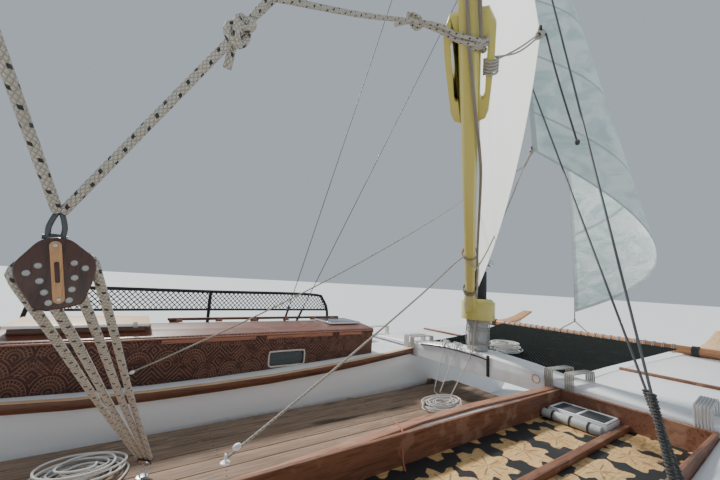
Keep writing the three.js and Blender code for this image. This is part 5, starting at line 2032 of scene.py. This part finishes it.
@dataclass
class Sheets:
    """The jib's two sheets, with the ring at the jib's clew."""

    clew: Point = JIB_CLEW
    mast: Point = (MAST_X, 0.0, 2.76)
    port_eye: Point = (-1.683, 0.868, 0.898)
    starboard_eye: Point = (-1.32, -0.67, 0.925)
    radius: float = 0.006

    def build(self) -> None:
        """Builds and dresses the sheets."""
        clew, mast = Vector(self.clew), Vector(self.mast)
        knob = clew_ring("jib_clew_ring", clew + Vector((-0.01, 0, 0.01)), (0.55, -0.83, 0), 0.018, 0.036)
        deliver(knob, Look.BLACK, "black")
        ways = [mast
                + Vector((0.082 * math.cos(math.radians(a)), 0.082 * math.sin(math.radians(a)), -0.0004 * a))
                for a in (-30, -5, 20, 45)]
        bend, under = ways[-1], [on_boom(0.93, 0.058, -0.075), on_boom(1.0, 0.0, -0.079),
                                 on_boom(1.07, -0.058, -0.075)]
        split = clew.lerp(Vector((0.9, -0.42, 2.25)), 0.26)
        down = clew.lerp(split, 0.5)
        twist = coil_points(clew + Vector((-0.01, 0, -0.02)), split, 0.011, 6, per_turn=10)
        other = coil_points(clew + Vector((-0.01, 0, -0.02)), split, -0.011, 6, per_turn=10)
        deliver(joined("sheet_twist", rope("twist", twist, self.radius), rope("twist", other, self.radius),
                       lashing("knot", clew.lerp(down, 0.14), split - clew, (0.02, 0.02), 4, 0.05, 0.007)),
                Look.SHEET_ROPE, "rope")
        front = rope("port_sheet_front", [split, split.lerp(ways[0], 0.5) + Vector((0, 0, -0.015)), *ways],
                     self.radius)
        deliver(front, Look.SHEET_ROPE, "rope")
        eye = Vector(self.port_eye)
        run = [bend, bend.lerp(eye, 0.03) + Vector((0, 0.004, 0))]
        run += [bend.lerp(eye, t) - Vector((0, 0, 0.1 * 4 * t * (1 - t))) for t in (0.15, 0.3, 0.5, 0.7, 0.9)]
        deliver_blend(rope("port_sheet", [*run, eye], self.radius, 0.03), Look.SHEET_ROPE, "boom",
                      "root",
                      tuple(bend), tuple(eye))
        upper = [split, split.lerp(Vector((0.776, -0.446, 2.03)), 0.5) - Vector((0, 0, 0.03)),
                 (0.776, -0.446, 2.03),
                 under[0]]
        deliver_blend(rope("starboard_sheet_upper", upper, self.radius, 0.03), Look.SHEET_ROPE,
                      "root", "boom",
                      tuple(split), tuple(under[0]))
        foot = Vector(self.starboard_eye)
        lower = [under[0], under[1], under[2], under[2].lerp(foot, 0.3) - Vector((0, 0, 0.015)),
                 under[2].lerp(foot, 0.7) - Vector((0, 0, 0.015)), foot]
        deliver_blend(rope("starboard_sheet_lower", lower, self.radius, 0.03), Look.SHEET_ROPE,
                      "boom", "root",
                      tuple(under[2]), tuple(foot))
        for name, place, axis in (("port_sheet_eye", eye, (0, 1, 0)),
                                  ("starboard_sheet_eye", foot, (0, 0, -1))):
            out = Vector(axis)
            base = place + out * (0.002 if name.startswith("port") else 0.012)
            pad = turned(name, [(0, -0.004), (0.02, -0.004), (0.02, 0), (0.016, 0.003), (0, 0.003)], base,
                         -out, 16)
            loop = ring("loop", place - out * 0.006, (1, 0, 0), 0.012, 0.0035, 16)
            bead = turned("bead", [(0, -0.02), (0.011, -0.012), (0.014, 0), (0.011, 0.012), (0, 0.02)],
                          place - out * 0.02 + Vector((0.04, -0.005, 0.02)), (0.9, -0.2, 0.4), 14)
            deliver(joined(name, pad, loop, bead), Look.BEAM, "steel")


@dataclass
class BoomRopes:
    """The ropes on the boom: the clew's outhaul, the line along it and the bridle's branch."""

    clew: Point = MAIN_CLEW
    thin: float = 0.0042
    leg_foot: Point = (-1.858, -1.104, 1.777)
    under: tuple[Point, ...] = ((2.71, -0.115, -0.045), (2.67, -0.045, -0.066), (2.64, 0.03, -0.066),
                                (2.62, 0.058, -0.05), (2.62, 0.066, 0.0), (2.62, 0.066, 0.03))
    branch_knot: tuple[Point, ...] = (
        (-0.02, 0.016, 0.014), (0.012, 0.02, -0.01), (0.03, -0.004, -0.02), (0.01, -0.024, -0.004),
        (-0.02, -0.014, 0.02), (-0.04, 0.008, 0.012), (-0.03, 0.022, -0.012), (0.004, 0.012, -0.024),
        (0.024, -0.012, 0.006), (0.0, -0.01, 0.026), (-0.045, -0.02, 0.004), (-0.08, -0.034, -0.01))

    def build(self) -> None:
        """Builds and dresses the ropes that ride on the boom."""
        clew = Vector(self.clew)
        slot = on_boom(2.53, 0.094, 0)
        side = Vector((0, 0, 0.014))
        hauls = []
        for shift in (-1, 1):
            end = slot + Vector((0.012 * shift, 0.012 * shift, 0))
            middle = clew.lerp(end, 0.5) + Vector((0, 0, -0.025)) + side * shift
            hauls.append(rope("haul",
                              [clew + side * shift * 0.5, middle, end,
                               end - on_boom(0, 0, 0) + on_boom(0.02, 0, 0)],
                              self.thin))
        hauls.append(lashing("turns", on_boom(2.5, 0.094, 0), BOOM_WAY, (0.03, 0.034), 5, 0.07, 0.0055))
        hauls.append(lashing("knot", clew, slot - clew, (0.016, 0.016), 4, 0.04, 0.006))
        deliver(joined("clew_outhaul", *hauls), Look.ROPE, "rope", "boom")
        knob = clew_ring("main_clew_ring", clew + Vector((0.005, 0.005, 0.02)), (0.6, -0.8, 0), 0.016, 0.032)
        deliver(knob, Look.BLACK, "black", "boom")
        drop = clew + Vector((0.015, -0.02, 0))
        bead_end = drop + Vector((0.115, -0.08, -0.57))
        bead = turned("bead", [(0, -0.016), (0.009, -0.01), (0.012, 0), (0.009, 0.01), (0, 0.016)], bead_end,
                      (0, 0, 1), 14)
        hang = rope("leech_line", [drop, drop.lerp(bead_end, 0.4) + Vector((-0.01, 0, -0.01)), bead_end],
                    0.0045)
        deliver(joined("leech_line", hang, bead), Look.DARK_ROPE, "black", "boom")
        along = [on_boom(3.3, -0.02, -0.06), on_boom(2.9, -0.012, -0.06), on_boom(2.6, 0.004, -0.06),
                 on_boom(2.3, 0.03, -0.06), on_boom(2.05, 0.055, -0.04), on_boom(1.8, 0.066, -0.01),
                 on_boom(1.2, 0.06, 0.0), on_boom(0.7, 0.058, 0.0), on_boom(0.48, 0.056, 0.01)]
        second = [on_boom(3.3, 0.03, -0.06), on_boom(2.9, 0.035, -0.062), on_boom(2.62, 0.052, -0.05),
                  on_boom(2.58, 0.064, -0.02), on_boom(2.575, 0.064, 0.03), on_boom(2.6, 0.03, 0.062)]
        turns = [lashing("turns", on_boom(s, 0, 0), BOOM_WAY, (0.058, 0.066), n, w, 0.006)
                 for s, n, w in ((0.46, 4, 0.05), (1.03, 1.5, 0.03), (2.9, 3, 0.05))]
        # The line along the boom takes the darker rope of painted shade.
        deliver(joined("boom_line", rope("line", along, 0.0085), rope("line", second, 0.0085), *turns),
                Look.SHADE_ROPE,
                "rope", "boom")
        self.branch()

    def branch(self) -> None:
        """Builds the bridle's branch, from a slot over its knot to the front leg."""
        knot = on_boom(2.75, -0.22, -0.02)
        leg = Vector(self.leg_foot).lerp(on_boom(3.28, 0, -0.06), 0.48)
        slot = on_boom(2.62, 0.064, -0.045)
        along = (slot - knot).normalized()
        up = along.cross(Vector((1, 0, 0))).normalized()
        parts = []
        for shift in (-0.011, 0.011):
            under = [on_boom(along_boom + shift, side, lift) for along_boom, side, lift in self.under]
            parts.append(rope("branch", [knot, *under], 0.009, 0.015))
        parts.append(rope("branch", [knot, knot.lerp(leg, 0.5) + Vector((0, 0, -0.01)), leg], 0.009, 0.02))
        loop = knotted(knot, along, up, self.branch_knot)
        parts.append(rope("branch", loop, 0.009, 0.01))
        parts.append(lashing("turns", on_boom(2.62, 0.03, 0), BOOM_WAY, (0.05, 0.066), 2, 0.036, 0.009))
        deliver(joined("bridle_branch", *parts), Look.SHEET_ROPE, "rope", "boom")


@dataclass
class MastRopes:
    """The halyard tails, cleats and heaps of rope round the foot of the mast."""

    thin: float = 0.005
    track_short: float = 2.05
    sign_middle: Point = (1.109, -0.66, 0.96)
    deck_plate: tuple[float, float, float, float] = (1.52, 1.6, 0.93, 1.05)

    def build(self) -> None:
        """Builds and dresses the ropes round the mast's foot."""
        self.tails()
        self.post_turns()
        self.fittings()
        self.heaps()

    def tails(self) -> None:
        """Builds the lines down the mast beam's aft face, each with its cleat and its end on the deck."""
        loops = []
        for number, (y, foot_y) in enumerate(((0.30, 0.42), (0.14, 0.34), (-0.05, 0.2))):
            top = Vector((1.128, y, 1.06))
            cleat = [top + Vector((0, -0.035, 0.012)), top + Vector((0, -0.02, 0.03)),
                     top + Vector((0, 0.02, 0.03)),
                     top + Vector((0, 0.035, 0.012))]
            loops += [rope("cleat", cleat, 0.006, 0.01),
                      round_bar("cleat", top - Vector((0, 0, 0.004)), top + Vector((0, 0, 0.028)), 0.007, 10)]
            start = Vector((1.088, foot_y, 0.56))
            line = [top + Vector((0.02, 0.02, 0.02)), top + Vector((0, 0, 0.04)),
                    top + Vector((-0.024, 0.004, 0.008)),
                    Vector((1.1, y + (foot_y - y) * 0.15, 0.98)), start]
            deliver(rope(f"tail_{number}", line, self.thin, 0.02), Look.WHITE_ROPE, "rope")
            bight = coil_points(top + Vector((-0.012, -0.035, 0.008)), top + Vector((-0.012, 0.045, 0.008)),
                                0.034, 2.5, 1.1, 14)
            loops.append(rope("bight", bight, self.thin, 0.012))
        deliver(joined("halyard_cleats", *loops), Look.WHITE_ROPE, "rope")
        band = rope("beam_line",
                    [(1.103, 0.66, 1.0), (1.102, 0.3, 1.028), (1.102, -0.08, 1.022), (1.103, -0.2, 1.012)],
                    0.007, 0.03)
        deliver(band, Look.DARK_ROPE, "black")
        strap = plate("beam_strap",
                      [(1.107, -0.232, 1.052), (1.107, -0.2, 1.052), (1.107, -0.2, 0.86),
                       (1.107, -0.232, 0.86)],
                      (-0.003, 0, 0))
        deliver(soften(strap, 0.001), Look.BLACK, "black")

    def post_turns(self) -> None:
        """Winds the turns round the mast's post and the line that hangs beside it."""
        wraps = [lashing("turns", (MAST_X, 0, z), (0.06, 0.04, 1), (0.11, 0.11), n, w, 0.0055)
                 for z, n, w in ((1.335, 3, 0.03), (1.25, 2, 0.06), (1.12, 2.5, 0.035))]
        for a, drop in ((150, 0.0), (178, 0.03), (205, 0.01), (300, 0.02)):
            x, y = math.cos(math.radians(a)), math.sin(math.radians(a))
            wraps.append(rope("hang",
                              [(MAST_X + 0.112 * x, 0.112 * y, 1.34),
                               (MAST_X + 0.116 * x, 0.116 * y + 0.01, 1.2 - drop),
                                       (MAST_X + 0.112 * x, 0.112 * y - 0.006, 1.066)], 0.005, 0.02))
        deliver(joined("post_turns", *wraps), Look.ROPE, "rope")
        fall = [(1.178, -0.06, 1.95), (1.14, -0.068, 1.62), (1.118, -0.06, 1.3), (1.1, -0.052, 1.075)]
        deliver(rope("halyard_fall", fall, 0.0045, 0.03), Look.ROPE, "rope")

    def fittings(self) -> None:
        """Builds the blank ring sign on the beam and the mast's sail track."""
        sign = turned("ring_sign", [(0, 0), (0.036, 0), (0.036, 0.002), (0, 0.002)], self.sign_middle,
                      (-1, 0, 0), 32)
        deliver(sign, Look.BEAM, "hull_paint")
        rim = ring("ring_sign_rim", (1.107, -0.66, 0.96), (1, 0, 0), 0.032, 0.0035, 32)
        deliver(rim, Look.SPAR, "varnish")
        outline = [(1.187, 0.011, 1.9), (1.187, -0.011, 1.9), (1.175, -0.014, 1.9), (1.175, 0.014, 1.9)]
        track = plate("sail_track", outline, (0, 0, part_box("mast")[1][2] - self.track_short))
        deliver(soften(track, 0.002), Look.ALLOY, "alloy")
        aft, front, inner, outer = self.deck_plate
        outline = [(aft, inner, 0), (aft, outer, 0), (front, outer, 0), (front, inner, 0)]
        pad = plate("deck_plate", outline, (0, 0, 0.006))
        top = max(height_over("hull_port", x, y) for x in (1.53, 1.59) for y in (0.94, 1.04))
        pad.data.transform(Matrix.Translation((0, 0, top)))
        deliver(soften(pad, 0.0025), Look.POST, "steel")

    def heaps(self) -> None:
        """Lays the loose rope ends in their heaps."""
        low = DECK_TOP + 0.006
        lead = [Vector((1.088, 0.42, 0.56)), Vector((1.08, 0.4, low)), Vector((1.05, 0.34, low))]
        body = loose_layers((0.84, 0.09, low), (0.035, 0.145), 0.005, 6, 5, 1.7, 55)
        lay_cord("deck_heap", lead + body, 0.005, Look.WHITE_ROPE)
        lead = [Vector((-1.71, 0.03, DECK_TOP + 0.014)), Vector((-1.67, 0.09, low)),
                Vector((-1.635, 0.15, low))]
        body = loose_layers((-1.83, 0.27, low), (0.05, 0.15), 0.006, 5, 11, 1.5, -22)
        lay_cord("sheet_heap", lead + body, 0.006, Look.WHITE_ROPE)
        net_top = max(height_over("fore_net", x, y) for x in (1.5, 1.65, 1.8)
                      for y in (-0.2, 0.0, 0.2)) + 0.002
        lie = max(net_top, 1.02) + 0.008
        lead = [Vector((1.4, 0.03, 1.056 + 0.006)), Vector((1.45, 0.03, lie))]
        body = loose_layers((1.68, -0.02, lie), (0.04, 0.16), 0.006, 7, 17, 1.3, 170)
        lay_cord("net_heap", lead + body, 0.006, Look.WHITE_ROPE)


@dataclass
class Lashings:
    """The rope lashings where beams cross the hulls, and the cord turns of the fore beam."""

    mast_beam_z: float = 0.955
    mast_beam_half: tuple[float, float] = (0.14, 0.1)
    aft_beam_x: float = -3.08
    aft_beam_z: float = 0.905
    aft_beam_half: tuple[float, float] = (0.09, 0.105)

    def build(self) -> None:
        """Builds and dresses the lashings."""
        white, grey, dark = [], [], []
        for y in (-1.62, 1.62, 0.9):
            white.append(wound("turns", (MAST_X, y, self.mast_beam_z), self.mast_beam_half, 6, 0.085, 0.0065,
                               0.02))
        for y in (-0.93, 0.78, -0.78):
            grey.append(wound("turns", (MAST_X, y, self.mast_beam_z), self.mast_beam_half, 5, 0.07, 0.006,
                              -0.025))
        for y in (-1.5, -0.8, 0.8, 1.5):
            grey.append(wound("turns", (self.aft_beam_x, y, self.aft_beam_z), self.aft_beam_half, 6, 0.09,
                              0.006, 0.02))
        deliver(joined("white_lashings", *white), Look.WHITE_ROPE, "rope")
        deliver(joined("grey_lashings", *grey), Look.ROPE, "rope")
        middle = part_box("fore_beam")
        x, z = ((middle[0][axis] + middle[1][axis]) / 2 for axis in (0, 2))
        for y in [-1.02 + 0.085 * k for k in range(25)]:
            dark.append(lashing("turns", (x, y, z), (0, 1, 0.02), (0.049, 0.049), 2, 0.03, 0.0042))
        deliver(joined("net_lacing", *dark), Look.WHITE_ROPE, "rope")
        ends = [lashing("turns", (x, y, z), (0, 1, 0), (0.051, 0.051), 5, 0.06, 0.006) for y in (-1.2, 1.2)]
        deliver(joined("fore_lashings", *ends), Look.DARK_ROPE, "black")
        orange = [(-0.5, -0.74, 0.95), (-0.51, -0.8, 0.952), (-0.53, -0.862, 0.935), (-0.545, -0.872, 0.88),
                  (-0.56, -0.9, 0.83),
                  (-0.575, -0.93, 0.812)]
        deliver(rope("orange_cord", orange, 0.004, 0.02), Look.ORANGE_CORD, "rope")


@dataclass
class CabinTrim:
    """The strips, window frames, chocks and lid trim of the cabin."""

    strips: tuple[tuple[float, float], ...] = ((-1.48, -0.75), (-0.65, 0.04), (0.12, 0.41))
    chocks: tuple[float, ...] = (-1.3, -0.93, -0.56, -0.19, 0.16, 0.42)

    def build(self) -> None:
        """Builds and dresses the trim."""
        boards = [strip("roof_strips", ((a, 0.8665, 1.118), (b, 0.8665, 1.118)), 0.012, 0.03, 0.003) for a,
                  b in self.strips]
        boards.append(strip("roof_strips", ((-2.47, 0.867, 1.142), (0.55, 0.867, 1.142)), 0.009, 0.012,
                            0.002))
        deliver(joined("roof_strips", *boards), Look.STRIP, "cabin_wood")
        frames = []
        for node, y in (("window_inner", 0.872), ("window_outer", 1.648)):
            low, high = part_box(node)
            a, b, c, d = low[0] - 0.012, high[0] + 0.012, low[2] - 0.012, high[2] + 0.012
            outline = [(a + 0.03, y, c), (b - 0.03, y, c), (b - 0.008, y, c + 0.008), (b, y, c + 0.03),
                       (b, y, d - 0.03), (b - 0.008, y, d - 0.008),
                       (b - 0.03, y, d), (a + 0.03, y, d), (a + 0.008, y, d - 0.008), (a, y, d - 0.03),
                       (a, y, c + 0.03), (a + 0.008, y, c + 0.008)]
            frames.append(rope("frame", [*outline, outline[0]], 0.009, 0.012, 8))
        deliver(joined("window_frames", *frames), Look.FRAME, "hull_paint")
        chocks = []
        for x in self.chocks:
            chock = plate("handrail_chocks",
                          [(x - 0.035, 1.555, 1.176), (x + 0.035, 1.555, 1.176), (x + 0.022, 1.555, 1.206),
                                              (x - 0.022, 1.555, 1.206)], (0, 0.04, 0))
            chocks.append(soften(chock, 0.004))
        deliver(joined("handrail_chocks", *chocks), Look.STRIP, "varnish")
        low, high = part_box("hatch_lid")
        x, y, z = high[0] + 0.002, low[1] - 0.002, low[2] + 0.011
        runs = [((low[0] + 0.01, y, z), (high[0] - 0.01, y, z)),
                ((x, low[1] + 0.01, z), (x, high[1] - 0.01, z))]
        edges = [strip("lid_edge", run, 0.006, 0.02, 0.002) for run in runs]
        deliver(joined("lid_edge", *edges), Look.BEAM, "hull_paint", "hatch")
        tie = lashing("lid_tie", (high[0] - 0.1, low[1] + 0.008, z), (1, 0.12, 0), (0.014, 0.022), 4, 0.03,
                      0.0035)
        deliver(tie, Look.WHITE_ROPE, "rope", "hatch")


def main() -> None:
    """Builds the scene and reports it."""
    logging.basicConfig(level=logging.INFO, format="%(message)s")
    mast = Mast()
    for assembly in (View(), Hulls(), Beams(), PlankDeck(), Cabin(), WorkDeck(), NetRails(), ForeNet(), mast,
                     Boom(),
                     Mainsail(), Jib(mast), Tackle(), Sheets(), BoomRopes(), MastRopes(), Lashings(),
                     CabinTrim(), Steering()):
        LOG.info("building %s", type(assembly).__name__)
        assembly.build()


if __name__ == "__main__":
    main()
